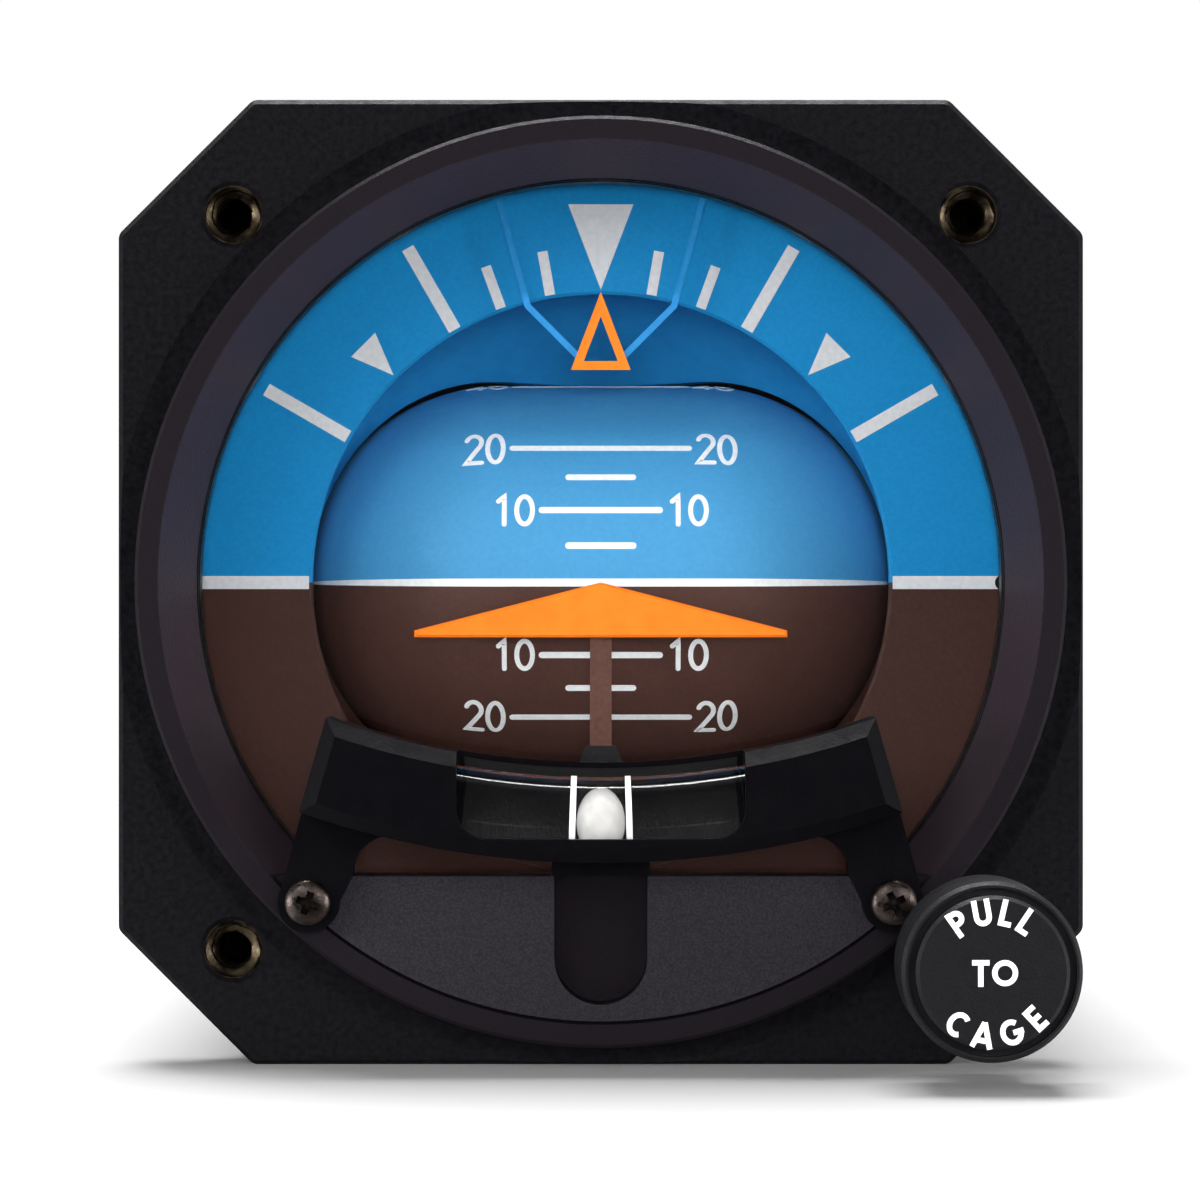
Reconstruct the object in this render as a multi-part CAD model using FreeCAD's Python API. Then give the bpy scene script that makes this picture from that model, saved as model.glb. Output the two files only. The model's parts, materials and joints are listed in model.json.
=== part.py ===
import FreeCAD, Part
import math
import os

# Panel attitude indicator, in millimetres.
# Y is the instrument's axis and points to the rear, X is right and Z is up.
# The origin is the centre of the flange's front face, which seats on the back of the panel.

# --- bezel and flange
flange_size = 82.55
flange_thick = 6.4
corner_cut = 11.5
corner_round = 1.0
edge_break = 0.4
cut_past = 1.0
screw_spacing = 62.87
ring_height = 3.2
ring_outer_r = 39.6
ring_face_r = 37.6
ring_edge_break = 0.3
relief_r = 41.9
relief_depth = 0.45
relief_curve = 0.75
throat_r = 35.0
glass_y = 5.0
glass_thick = 2.0
glass_r = 35.9
glass_gap = 0.1
gasket_thick = 0.8
retainer_thick = 2.4
spigot_r = 37.6
spigot_end_y = 13.4
seal_width = 1.4
seal_depth = 1.0

# --- threaded inserts at three corners of the flange
insert_r = 2.5
insert_mouth = 0.35
insert_thread_r = 1.42
insert_sink = 0.63
insert_head_r = 3.4
insert_head_thick = 1.6
insert_end_wall = 1.0

# --- land across the bottom of the window, with its plate
land_top_z = -25.0
land_depth = 0.8
land_thick = 5.0
plate_thick = 0.8
plate_gap = 0.3
plate_round = 0.8
recess_half_width = 3.95
recess_bottom_z = -35.9
recess_depth = 3.0

# --- inclinometer: its arcs share one centre above the dial
slip_centre_z = 53.7
bracket_top_r = 69.0
bracket_height = 8.2
bracket_top_x = 22.95
bracket_bottom_x = 25.2
bracket_thick = 7.7
bracket_bevel = 1.2
bracket_web = 0.5
ear_thick = 2.2
ear_r = 2.6
ear_root_x = 17.7
ear_fillet = 3.2
ear_screw_x = 24.7
ear_screw_z = -27.05
window_half_width = 12.05
window_height = 6.2
window_round = 2.5
tab_half_width = 4.1
tab_drop = 1.3
tab_thick = 3.0
tube_below_top = 4.2
tube_r = 3.1
tube_wall = 0.5
tube_half_angle = 14.5
plug_length_angle = 2.0
tube_gap = 0.05
ball_r = 2.05
ball_gap = 0.05
backing_thick = 0.3
backing_height = 5.6
backing_inset = 0.5

# --- small screws
screw_head_flat = 0.6
screw_head_side = 0.55
screw_tip_gap = 0.5
blind_end = 1.0
pan_head_r = 1.95
pan_head_height = 1.2
small_shank_r = 0.9
gimbal_head_r = 1.44
gimbal_head_height = 0.9
hole_gap = 0.1

# --- caging knob and its rod in the lower right corner
rod_r = 2.0
rod_gap = 0.04
bushing_r = 2.8
bushing_flange_r = 3.3
bushing_flange_thick = 1.0
knob_r = 7.3
knob_face_r = 6.2
knob_neck_r = 5.0
knob_front_y = -24.6
knob_head_length = 10.2
knob_rear_y = -7.6
knob_groove_width = 0.6
knob_groove_depth = 0.7
knob_edge = 0.7
knob_chamfer = 0.3
knob_rod_depth = 12.0
cage_travel = 8.0
clip_y = 30.0
clip_thick = 0.8
clip_r = 3.2
spring_wire_r = 0.3
spring_turns = 7
spring_facets = 10
spring_coil_r = 2.65
fork_thick = 1.5
fork_arm_width = 5.0
fork_outer_r = 12.0
fork_inner_r = 7.0
fork_hub_r = 3.2
fork_slot_gap = 1.0
fork_slot_end_gap = 0.5
tunnel_r = 3.5
tunnel_wall = 1.4

# --- fixed symbol and sky pointer behind the glass
wing_half_span = 16.3
wing_drop = 4.8
wing_tip = 0.6
wing_thick = 1.2
wing_bevel = 0.22
post_width = 1.9
post_thick = 0.7
post_head_z = -2.0
foot_top_z = -14.3
foot_bottom_z = -15.8
foot_top_width = 2.6
foot_width = 3.9
pointer_apex_z = 25.4
pointer_base_z = 18.6
pointer_half_width = 2.6
pointer_stroke = 0.75
pointer_thick = 0.5
arm_width = 0.55
arm_top_x = 9.2
arm_top_z = 34.5
arm_knee_x = 6.4
arm_knee_z = 24.2
arm_low_x = 2.1
arm_low_z = 19.9

# --- roll dial, masks and pitch drum
dial_y = 12.5
dial_thick = 1.2
dial_rim_gap = 0.4
dial_inner_r = 25.4
dial_edge_break = 0.25
mask_thick = 0.8
mask_rim_r = 34.0
mask_ball_r = 28.2
mask_ball_y = 12.95
mask_depth = 22.5
drum_y = 31.0
drum_r = 18.1
drum_straight = 9.2
drum_wall = 1.0
drum_gap = 0.5
drum_hub_r = 3.2
drum_hub_length = 4.0
drum_axle_r = 1.5

# --- roll gimbal
front_ring_thick = 3.0
front_ring_inner_r = 29.3
side_x = 29.0
side_thick = 1.6
side_front_height = 17.0
side_mid_height = 13.0
side_lug_length = 2.9
side_lug_height = 5.0
side_tab_length = 5.0
side_tab_height = 8.5
side_screw_z = 3.0
lightening_r = 4.0
rear_wall_thick = 3.0
rear_wall_r = 33.5
rear_wall_height = 17.0
gyro_room = 28.4
pivot_gap = 0.03
drum_bearing_r = 3.0
gyro_bearing_r = 4.5

# --- pitch gears, on the right-hand side plate
gear_module = 0.6
pressure_angle = 20.0
gear_root_depth = 1.25
gyro_teeth = 40
idler_teeth = 23
drum_teeth = 20
gear_thick = 1.8
gear_side_gap = 0.4
tooth_play = 0.05
idler_post_r = 1.2
post_head_r = 2.0
post_head_thick = 0.5
gear_hole_r = 2.3
gear_hole_count = 6
balance_thick = 2.4
balance_height = 13.0
balance_drop = 4.0

# --- gyro
gyro_r = 21.0
gyro_half_height = 15.0
gyro_wall = 1.2
gyro_end_wall = 2.5
trunnion_r = 2.0
rotor_r = 18.0
rotor_rim = 5.5
rotor_half_height = 8.5
rotor_web = 2.0
rotor_hub_length = 2.0
rotor_shaft_r = 1.5
rotor_collar_r = 2.55
rotor_end_gap = 0.2
rotor_bearing_r = 4.0
stator_r = 11.6
stator_stem_r = 3.4
stator_stem_wall = 3.0
stator_shaft_gap = 0.6
stator_web_gap = 2.6
erector_r = 12.0
erector_thick = 3.0
erector_gap = 0.3
erector_floor = 1.0
erector_pocket_r = 1.6
erector_pocket_ring_r = 8.4
erector_pocket_count = 6
erector_post_r = 1.0
ballast_inner_r = 4.6

# --- roll shaft, bearings and slip rings
cam_thick = 2.4
cam_low = 0.9
cam_r = 12.5
cam_bore_gap = 0.2
shaft_flange_r = 8.0
shaft_flange_thick = 2.0
shaft_r = 3.0
fork_rest_y = 119.0
bulkhead_y = 122.0
bulkhead_rim = 6.0
bulkhead_rim_wall = 1.9
bulkhead_pad_r = 3.5
bulkhead_web = 2.4
bulkhead_lip = 0.8
hub_outer_r = 10.5
hub_length = 23.0
bearing_r = 7.5
bearing_width = 5.0
shaft_nut_r = 5.0
shaft_nut_width = 2.6
nut_gap = 0.2
slip_ring_r = 5.5
slip_ring_count = 5
slip_ring_groove = 0.6
slip_ring_length = 10.0
brush_height = 5.0
brush_length = 8.0
brush_reach = 1.0
brush_gap = 0.1
window_hole_r = 6.0
window_hole_count = 8
window_hole_ring_r = 22.5

# --- case, rear cover, board and connector
case_gap = 0.05
case_wall = 1.6
case_end_y = 158.0
case_screw_inset = 2.0
case_screw_r = 1.0
case_screw_head_r = 1.9
case_screw_head = 1.0
case_screw_reach = 1.3
cover_thick = 3.0
cover_lip = 3.0
cover_lip_wall = 2.0
cover_screw_head_r = 2.6
post_ring_r = 30.0
board_post_r = 2.5
board_stud_r = 1.2
board_stud_length = 2.5
board_y = 150.0
board_thick = 1.6
board_r = 34.0
capacitor_r = 5.0
capacitor_length = 14.0
capacitor_x = 16.2
capacitor_z = 13.0
transformer_width = 22.0
transformer_height = 13.0
transformer_depth = 9.0
transformer_top_z = -14.0
chip_width = 8.0
chip_height = 6.0
chip_thick = 2.0
chip_x = 17.0
chip_top_z = -2.0
socket_flange = 26.0
socket_flange_thick = 2.0
socket_shell_r = 9.5
socket_wall = 1.6
socket_length = 17.0
socket_insert_depth = 9.5
socket_insert_gap = 0.05
socket_screw_inset = 3.2
socket_screw_head_r = 1.7
socket_screw_head = 1.0
pin_r = 0.8
pin_ring_r = 4.2
pin_count = 5
pin_length = 5.0
pin_tail = 3.0

# --- places worked out from the sizes above
ring_y = -ring_height
screw_half = screw_spacing / 2
corner_r = screw_half * math.sqrt(2)
retainer_y = glass_y + glass_thick + gasket_thick
retainer_end_y = retainer_y + retainer_thick
bracket_front_y = ring_y - bracket_thick
land_y = ring_y + land_depth
bracket_bottom_r = bracket_top_r + bracket_height
tube_path_r = bracket_top_r + tube_below_top
window_bottom_z = slip_centre_z - bracket_top_r - window_height
tube_y = ring_y - bracket_web - backing_thick - 2 * tube_gap - tube_r
ball_path_r = tube_path_r + tube_r - tube_wall - ball_gap - ball_r
backing_bottom_r = slip_centre_z - window_bottom_z - hole_gap
mask_y = dial_y + dial_thick
dial_outer_r = glass_r - dial_rim_gap
front_ring_y = mask_y + mask_thick
side_y = front_ring_y + front_ring_thick
gear_x = side_x + side_thick + gear_side_gap
gear_r = gear_module * gyro_teeth / 2
idler_r = gear_module * idler_teeth / 2
pinion_r = gear_module * drum_teeth / 2
idler_b_y = drum_y + pinion_r + idler_r
idler_a_y = idler_b_y + 2 * idler_r
gyro_y = idler_a_y + idler_r + gear_r
rear_wall_y = gyro_y + gyro_room
rear_wall_end_y = rear_wall_y + rear_wall_thick
hub_end_y = bulkhead_y + hub_length
case_inner_r = spigot_r + case_gap
case_outer_r = case_inner_r + case_wall
cover_end_y = case_end_y + cover_thick
fork_slot_width = fork_arm_width + 2 * fork_slot_gap


def vec(x, y, z):
    return FreeCAD.Vector(x, y, z)


def rod_x(radius, x_start, x_end, y, z=0.0):
    return Part.makeCylinder(radius, x_end - x_start, vec(x_start, y, z), vec(1, 0, 0))


def rod_y(radius, y_start, y_end, x=0.0, z=0.0):
    return Part.makeCylinder(radius, y_end - y_start, vec(x, y_start, z), vec(0, 1, 0))


def rod_z(radius, z_start, z_end, y, x=0.0):
    return Part.makeCylinder(radius, z_end - z_start, vec(x, y, z_start), vec(0, 0, 1))


def tube_along_y(outer_r, inner_r, y_start, y_end, x=0.0, z=0.0):
    return rod_y(outer_r, y_start, y_end, x, z).cut(rod_y(inner_r, y_start, y_end, x, z))


def tube_along_x(outer_r, inner_r, x_start, x_end, y):
    return rod_x(outer_r, x_start, x_end, y).cut(rod_x(inner_r, x_start, x_end, y))


def tube_along_z(outer_r, inner_r, z_start, z_end, y):
    return rod_z(outer_r, z_start, z_end, y).cut(rod_z(inner_r, z_start, z_end, y))


def block(x_range, y_range, z_range):
    size = [pair[1] - pair[0] for pair in (x_range, y_range, z_range)]
    return Part.makeBox(size[0], size[1], size[2], vec(x_range[0], y_range[0], z_range[0]))


def face_of(edges):
    return Part.Face(Part.Wire(Part.__sortEdges__(edges)))


def front_outline(points, y_start, y_end):
    """Extrude an outline of x, z points from y_start to y_end."""
    corners = [vec(x, y_start, z) for x, z in points]
    face = Part.Face(Part.makePolygon(corners + corners[:1]))
    return face.extrude(vec(0, y_end - y_start, 0))


def side_outline(points, x_start, x_end):
    """Extrude an outline of y, z points from x_start to x_end."""
    corners = [vec(x_start, y, z) for y, z in points]
    face = Part.Face(Part.makePolygon(corners + corners[:1]))
    return face.extrude(vec(x_end - x_start, 0, 0))


def turned_y(points, x=0.0, z=0.0):
    """Turn a profile of radius, y points about an axis along Y."""
    corners = [vec(x + radius, y, z) for radius, y in points]
    face = Part.Face(Part.makePolygon(corners + corners[:1]))
    return face.revolve(vec(x, 0, z), vec(0, 1, 0), 360)


def turned_z(points, y):
    """Turn a profile of radius, z points about an axis along Z at the given y."""
    corners = [vec(radius, y, height) for radius, height in points]
    face = Part.Face(Part.makePolygon(corners + corners[:1]))
    return face.revolve(vec(0, y, 0), vec(0, 0, 1), 360)


def on_circle(count, radius, start_deg=0.0):
    """Evenly spaced x, z places on a circle about the instrument's axis."""
    angles = [math.radians(start_deg + 360.0 * i / count) for i in range(count)]
    return [(radius * math.cos(a), radius * math.sin(a)) for a in angles]


def to_corner(shape):
    """Swing a shape built out along +X round to the lower right corner."""
    shape.rotate(vec(0, 0, 0), vec(0, 1, 0), 45)
    return shape


def mirrored(shape):
    return shape.mirror(vec(0, 0, 0), vec(1, 0, 0))


def group(shapes):
    return Part.makeCompound(shapes)


def edges_at_y(shape, y):
    flat = [edge for edge in shape.Edges if all(abs(v.Y - y) < 1e-6 for v in edge.Vertexes)]
    return [edge for edge in flat if abs(edge.CenterOfMass.y - y) < 1e-6]


def edges_along_y(shape):
    """Straight edges that run parallel to Y."""
    along = []
    for edge in shape.Edges:
        if len(edge.Vertexes) == 2:
            start, end = edge.Vertexes[0].Point, edge.Vertexes[1].Point
            if abs(start.x - end.x) < 1e-6 and abs(start.z - end.z) < 1e-6:
                along.append(edge)
    return along


def screw(head_r, head_height, shank_r, shank_length, place, direction):
    """A low-headed screw: its head stands out of the seat, its shank goes in along direction."""
    profile = [(0, -head_height), (head_r * screw_head_flat, -head_height),
               (head_r, -head_height * screw_head_side), (head_r, 0),
               (shank_r, 0), (shank_r, shank_length), (0, shank_length)]
    corners = [vec(radius, 0, height) for radius, height in profile]
    face = Part.Face(Part.makePolygon(corners + corners[:1]))
    shape = face.revolve(vec(0, 0, 0), vec(0, 0, 1), 360)
    shape.Placement = FreeCAD.Placement(place, FreeCAD.Rotation(vec(0, 0, 1), direction))
    return shape


# --- front of the instrument

def insert_places():
    return [(-screw_half, screw_half), (screw_half, screw_half), (-screw_half, -screw_half)]


def ear_screw_places():
    return [(-ear_screw_x, ear_screw_z), (ear_screw_x, ear_screw_z)]


def recess_shape(y_start, y_end):
    """The round-bottomed recess in the middle of the land."""
    round_z = recess_bottom_z + recess_half_width
    slot = block((-recess_half_width, recess_half_width), (y_start, y_end), (round_z, land_top_z + cut_past))
    return slot.fuse(rod_y(recess_half_width, y_start, y_end, 0.0, round_z))


def flange_plate():
    half = flange_size / 2
    inner = half - corner_cut
    corners = [(half, inner), (inner, half), (-inner, half), (-half, inner),
               (-half, -inner), (-inner, -half), (inner, -half), (half, -inner)]
    plate = front_outline(corners, 0.0, flange_thick)
    plate = plate.makeFillet(corner_round, edges_along_y(plate))
    return plate.makeChamfer(edge_break, edges_at_y(plate, 0.0))


def relief_groove():
    """Shallow hollow turned into the flange face round the raised ring."""
    inner_low = vec(ring_outer_r, relief_depth, 0)
    middle = vec((ring_outer_r + relief_r) / 2, relief_depth * relief_curve, 0)
    inner_top = vec(ring_outer_r, 0, 0)
    outer = vec(relief_r, 0, 0)
    edges = [Part.LineSegment(inner_top, inner_low).toShape(),
             Part.Arc(inner_low, middle, outer).toShape(),
             Part.LineSegment(outer, inner_top).toShape()]
    return face_of(edges).revolve(vec(0, 0, 0), vec(0, 1, 0), 360)


def bezel():
    ring = turned_y([(0, 0), (0, ring_y), (ring_outer_r - ring_edge_break, ring_y),
                     (ring_outer_r, ring_y + ring_edge_break), (ring_outer_r, 0)])
    spigot = rod_y(spigot_r, flange_thick, spigot_end_y)
    body = flange_plate().cut(relief_groove()).fuse([ring, spigot])
    bore = turned_y([(0, ring_y), (ring_face_r, ring_y), (throat_r, glass_y), (0, glass_y)])
    land = block((-ring_face_r, ring_face_r), (land_y, land_y + land_thick), (-ring_face_r, land_top_z))
    bore = bore.cut(land)
    glass_seat_r = glass_r + glass_gap
    body = body.cut([bore, rod_y(glass_seat_r, glass_y, spigot_end_y)])
    body = body.cut(recess_shape(land_y, land_y + recess_depth))
    mouth_r = insert_r + insert_mouth
    cuts = []
    for x, z in insert_places():
        cuts.append(turned_y([(0, 0), (mouth_r, 0), (insert_r, insert_mouth),
                              (insert_r, flange_thick), (0, flange_thick)], x, z))
    cuts.append(rod_y(bushing_r, 0, flange_thick, screw_half, -screw_half))
    for x, z in ear_screw_places():
        cuts.append(rod_y(small_shank_r, ring_y, land_y + land_thick - blind_end, x, z))
    cuts.append(seal_tube(case_inner_r))
    for x, z in case_screw_lines():
        cuts.append(radial_rod(case_screw_r, throat_r, case_outer_r, x, z, front_screw_y()))
    return body.cut(cuts).removeSplitter()


def case_screw_lines():
    """Unit directions of the screws round the case, one per side."""
    return on_circle(4, 1.0)


def front_screw_y():
    return spigot_end_y - case_screw_inset


def radial_rod(radius, start_r, end_r, x, z, y):
    return Part.makeCylinder(radius, end_r - start_r, vec(x * start_r, y, z * start_r), vec(x, 0, z))


def panel_inserts():
    shapes = []
    bore_end_y = flange_thick + insert_head_thick
    end_y = bore_end_y + insert_end_wall
    for x, z in insert_places():
        shapes.append(turned_y([(insert_thread_r + insert_sink, insert_mouth), (insert_r, insert_mouth),
                                (insert_r, flange_thick), (insert_head_r, flange_thick),
                                (insert_head_r, end_y), (0, end_y), (0, bore_end_y),
                                (insert_thread_r, bore_end_y),
                                (insert_thread_r, insert_mouth + insert_sink)], x, z))
    return group(shapes)


def front_glass():
    return rod_y(glass_r, glass_y, glass_y + glass_thick)


def seal_y():
    """Front of the groove for the case seal, midway along the spigot."""
    return (flange_thick + spigot_end_y) / 2 - seal_width


def seal_rings():
    """The glass's gasket, and the seal between the spigot and the case."""
    gasket = tube_along_y(glass_r, throat_r, glass_y + glass_thick, retainer_y)
    return group([gasket, seal_tube(case_inner_r)])


def seal_tube(outer_r):
    return tube_along_y(outer_r, spigot_r - seal_depth, seal_y(), seal_y() + seal_width)


def glass_retainer():
    return tube_along_y(glass_r, throat_r - glass_gap, retainer_y, retainer_end_y)


def lower_plate():
    plate = rod_y(ring_face_r - plate_gap, ring_y, land_y)
    plate = plate.common(block((-ring_face_r, ring_face_r), (ring_y, land_y), (-ring_face_r, land_top_z)))
    plate = plate.makeFillet(plate_round, edges_along_y(plate))
    cuts = [recess_shape(ring_y, land_y)]
    for x, z in ear_screw_places():
        cuts.append(rod_y(small_shank_r, ring_y, land_y, x, z))
    return plate.cut(cuts)


# --- inclinometer

def arc_z(radius, x):
    """Height of an inclinometer arc of the given radius at x."""
    return slip_centre_z - math.sqrt(radius ** 2 - x ** 2)


def arc_band(top_r, bottom_r, top_x, bottom_x, y_start, y_end):
    """A band between two arcs about the inclinometer's centre, cut off by straight ends."""
    top_left = vec(-top_x, y_start, arc_z(top_r, top_x))
    top_right = vec(top_x, y_start, arc_z(top_r, top_x))
    bottom_left = vec(-bottom_x, y_start, arc_z(bottom_r, bottom_x))
    bottom_right = vec(bottom_x, y_start, arc_z(bottom_r, bottom_x))
    edges = [Part.Arc(top_left, vec(0, y_start, arc_z(top_r, 0)), top_right).toShape(),
             Part.LineSegment(top_right, bottom_right).toShape(),
             Part.Arc(bottom_right, vec(0, y_start, arc_z(bottom_r, 0)), bottom_left).toShape(),
             Part.LineSegment(bottom_left, top_left).toShape()]
    return face_of(edges).extrude(vec(0, y_end - y_start, 0))


def slip_tube(radius, start_deg, end_deg):
    """A round bar bent along the inclinometer's path between two angles from straight down."""
    start = vec(0, tube_y, slip_centre_z - tube_path_r)
    disc = Part.Face(Part.Wire(Part.makeCircle(radius, start, vec(1, 0, 0))))
    disc.rotate(vec(0, 0, slip_centre_z), vec(0, 1, 0), start_deg)
    return disc.revolve(vec(0, 0, slip_centre_z), vec(0, 1, 0), end_deg - start_deg)


def inclinometer_bracket():
    band = arc_band(bracket_top_r, bracket_bottom_r, bracket_top_x, bracket_bottom_x,
                    bracket_front_y, ring_y)
    band = band.makeChamfer(bracket_bevel, edges_at_y(band, bracket_front_y))
    ears = []
    for x, z in ear_screw_places():
        side = math.copysign(1.0, x)
        root_in = side * ear_root_x
        root_out = side * bracket_bottom_x
        root_z = arc_z(bracket_bottom_r, ear_root_x)
        outline = [(root_in, root_z + bracket_bevel),
                   (root_out, arc_z(bracket_bottom_r, bracket_bottom_x)),
                   (x + side * ear_r, z), (x - side * ear_r, z),
                   (root_in + side * ear_fillet, root_z - ear_fillet), (root_in, root_z - ear_fillet)]
        ear = front_outline(outline, ring_y - ear_thick, ring_y)
        ears.append(ear.cut(rod_y(ear_fillet, ring_y - ear_thick, ring_y, root_in, root_z - ear_fillet)))
        ears.append(rod_y(ear_r, ring_y - ear_thick, ring_y, x, z))
    tab_top_z = arc_z(bracket_bottom_r, 0) + bracket_bevel
    tab_low_z = arc_z(bracket_bottom_r, 0) - tab_drop
    ears.append(block((-tab_half_width, tab_half_width), (ring_y - tab_thick, ring_y),
                      (tab_low_z, tab_top_z)))
    body = band.fuse(ears)
    window = block((-window_half_width, window_half_width),
                   (bracket_front_y - cut_past, ring_y - bracket_web),
                   (window_bottom_z, arc_z(bracket_top_r, bracket_top_x)))
    round_top_z = window_bottom_z + window_round
    low_edges = [edge for edge in edges_along_y(window) if edge.Vertexes[0].Z < round_top_z]
    window = window.makeFillet(window_round, low_edges)
    channel = slip_tube(tube_r + tube_gap, -tube_half_angle - tube_gap, tube_half_angle + tube_gap)
    cuts = [window, channel]
    for x, z in ear_screw_places():
        cuts.append(rod_y(small_shank_r + hole_gap, ring_y - ear_thick, ring_y, x, z))
    return body.cut(cuts)


def inclinometer_tube():
    bar = slip_tube(tube_r, -tube_half_angle, tube_half_angle)
    return bar.cut(slip_tube(tube_r - tube_wall, -tube_half_angle, tube_half_angle))


def tube_fittings():
    """The plugs in the tube's ends, and the strip behind the tube."""
    inner = tube_half_angle - plug_length_angle
    plug = slip_tube(tube_r - tube_wall, inner, tube_half_angle)
    half_width = window_half_width - backing_inset
    back_y = ring_y - bracket_web
    backing = arc_band(backing_bottom_r - backing_height, backing_bottom_r, half_width, half_width,
                       back_y - backing_thick, back_y)
    return group([plug, mirrored(plug), backing])


def slip_ball():
    return Part.makeSphere(ball_r, vec(0, tube_y, slip_centre_z - ball_path_r))


def bracket_screws():
    seat_y = ring_y - ear_thick
    length = land_y + land_thick - blind_end - seat_y
    return group([screw(pan_head_r, pan_head_height, small_shank_r, length, vec(x, seat_y, z), vec(0, 1, 0))
                  for x, z in ear_screw_places()])


# --- symbols behind the glass

def aircraft_symbol():
    tip_z = -wing_drop + wing_tip
    outline = [(0, 0), (wing_half_span, tip_z), (wing_half_span, -wing_drop),
               (-wing_half_span, -wing_drop), (-wing_half_span, tip_z)]
    front_y = retainer_end_y - wing_thick
    wing = front_outline(outline, front_y, retainer_end_y)
    return wing.makeChamfer(wing_bevel, edges_at_y(wing, front_y))


def aircraft_post():
    front_y = retainer_end_y
    back_y = front_y + post_thick
    stem = block((-post_width / 2, post_width / 2), (front_y, back_y), (foot_top_z, post_head_z))
    foot = front_outline([(-foot_top_width / 2, foot_top_z), (foot_top_width / 2, foot_top_z),
                          (foot_width / 2, foot_bottom_z), (-foot_width / 2, foot_bottom_z)],
                         front_y, back_y)
    bar_end_z = -(throat_r + glass_r) / 2
    bar = block((-foot_width / 2, foot_width / 2), (front_y, back_y), (bar_end_z, foot_bottom_z))
    return stem.fuse([foot, bar]).removeSplitter()


def sky_pointer():
    apex = (0.0, pointer_apex_z)
    left = (-pointer_half_width, pointer_base_z)
    right = (pointer_half_width, pointer_base_z)
    height = pointer_apex_z - pointer_base_z
    slope = math.hypot(pointer_half_width, height)
    perimeter = 2 * (pointer_half_width + slope)
    in_r = 2 * pointer_half_width * height / perimeter
    centre_z = pointer_base_z + in_r
    shrink = (in_r - pointer_stroke) / in_r
    inner = [(x * shrink, centre_z + (z - centre_z) * shrink) for x, z in (apex, left, right)]
    back_y = retainer_end_y
    outer_shape = front_outline([apex, left, right], back_y - pointer_thick, back_y)
    return outer_shape.cut(front_outline(inner, back_y - pointer_thick, back_y))


def strip(start, end, width, y_start, y_end):
    """A flat strip with round ends between two x, z points."""
    run = (end[0] - start[0], end[1] - start[1])
    length = math.hypot(run[0], run[1])
    across = (-run[1] / length * width / 2, run[0] / length * width / 2)
    outline = [(start[0] + across[0], start[1] + across[1]), (end[0] + across[0], end[1] + across[1]),
               (end[0] - across[0], end[1] - across[1]), (start[0] - across[0], start[1] - across[1])]
    bar = front_outline(outline, y_start, y_end)
    ends = [rod_y(width / 2, y_start, y_end, point[0], point[1]) for point in (start, end)]
    return bar.fuse(ends)


def sky_pointer_arms():
    front_y = retainer_end_y
    back_y = front_y + pointer_thick
    upper = strip((arm_top_x, arm_top_z), (arm_knee_x, arm_knee_z), arm_width, front_y, back_y)
    lower = strip((arm_knee_x, arm_knee_z), (arm_low_x, arm_low_z), arm_width, front_y, back_y)
    right = upper.fuse(lower).removeSplitter()
    return group([right, mirrored(right)])


# --- dial, masks and drum

def roll_dial():
    end_y = dial_y + dial_thick
    return turned_y([(dial_inner_r, dial_y + dial_edge_break), (dial_inner_r + dial_edge_break, dial_y),
                     (dial_outer_r, dial_y), (dial_outer_r, end_y), (dial_inner_r, end_y)])


def capsule(radius, straight):
    """A drum with ball-shaped ends, lying along X."""
    high = drum_y + radius
    slant = radius * math.sqrt(0.5)
    left_end = vec(-straight - radius, drum_y, 0)
    right_end = vec(straight + radius, drum_y, 0)
    edges = [Part.LineSegment(left_end, right_end).toShape(),
             Part.Arc(right_end, vec(straight + slant, drum_y + slant, 0), vec(straight, high, 0)).toShape(),
             Part.LineSegment(vec(straight, high, 0), vec(-straight, high, 0)).toShape(),
             Part.Arc(vec(-straight, high, 0), vec(-straight - slant, drum_y + slant, 0), left_end).toShape()]
    return face_of(edges).revolve(vec(0, drum_y, 0), vec(1, 0, 0), 360)


def bowl_radius(ball_r, y):
    """Radius of the masks' ball-shaped wall at y."""
    return math.sqrt(ball_r ** 2 - (y - mask_ball_y) ** 2)


def mask_half(side):
    """One of the two bowl-shaped masks, above the drum for side 1 and below it for side -1."""
    end_y = mask_y + mask_depth
    middle_y = (mask_y + end_y) / 2
    outer_ball_r = mask_ball_r + mask_thick
    inner = [vec(bowl_radius(mask_ball_r, y), y, 0) for y in (mask_y, middle_y, end_y)]
    outer = [vec(bowl_radius(outer_ball_r, y), y, 0) for y in (front_ring_y, middle_y, end_y)]
    rim_front = vec(mask_rim_r, mask_y, 0)
    rim_back = vec(mask_rim_r, front_ring_y, 0)
    edges = [Part.Arc(inner[0], inner[1], inner[2]).toShape(),
             Part.LineSegment(inner[2], outer[2]).toShape(),
             Part.Arc(outer[2], outer[1], outer[0]).toShape(),
             Part.LineSegment(outer[0], rim_back).toShape(),
             Part.LineSegment(rim_back, rim_front).toShape(),
             Part.LineSegment(rim_front, inner[0]).toShape()]
    half = face_of(edges).revolve(vec(0, 0, 0), vec(0, 1, 0), -180 * side)
    return half.cut(capsule(drum_r + drum_gap, drum_straight)).removeSplitter()


def pitch_drum():
    shell = capsule(drum_r, drum_straight).cut(capsule(drum_r - drum_wall, drum_straight))
    end_x = drum_straight + drum_r - drum_wall / 2
    hub = rod_x(drum_hub_r, end_x - drum_hub_length, end_x, drum_y)
    hub = hub.common(capsule(drum_r - drum_wall / 2, drum_straight))
    body = shell.fuse([hub, mirrored(hub)])
    return body.cut(rod_x(drum_axle_r, -side_x, side_x, drum_y))


def drum_axle():
    return rod_x(drum_axle_r, -side_x - side_thick, gear_x + gear_thick, drum_y)


# --- gimbal

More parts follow.
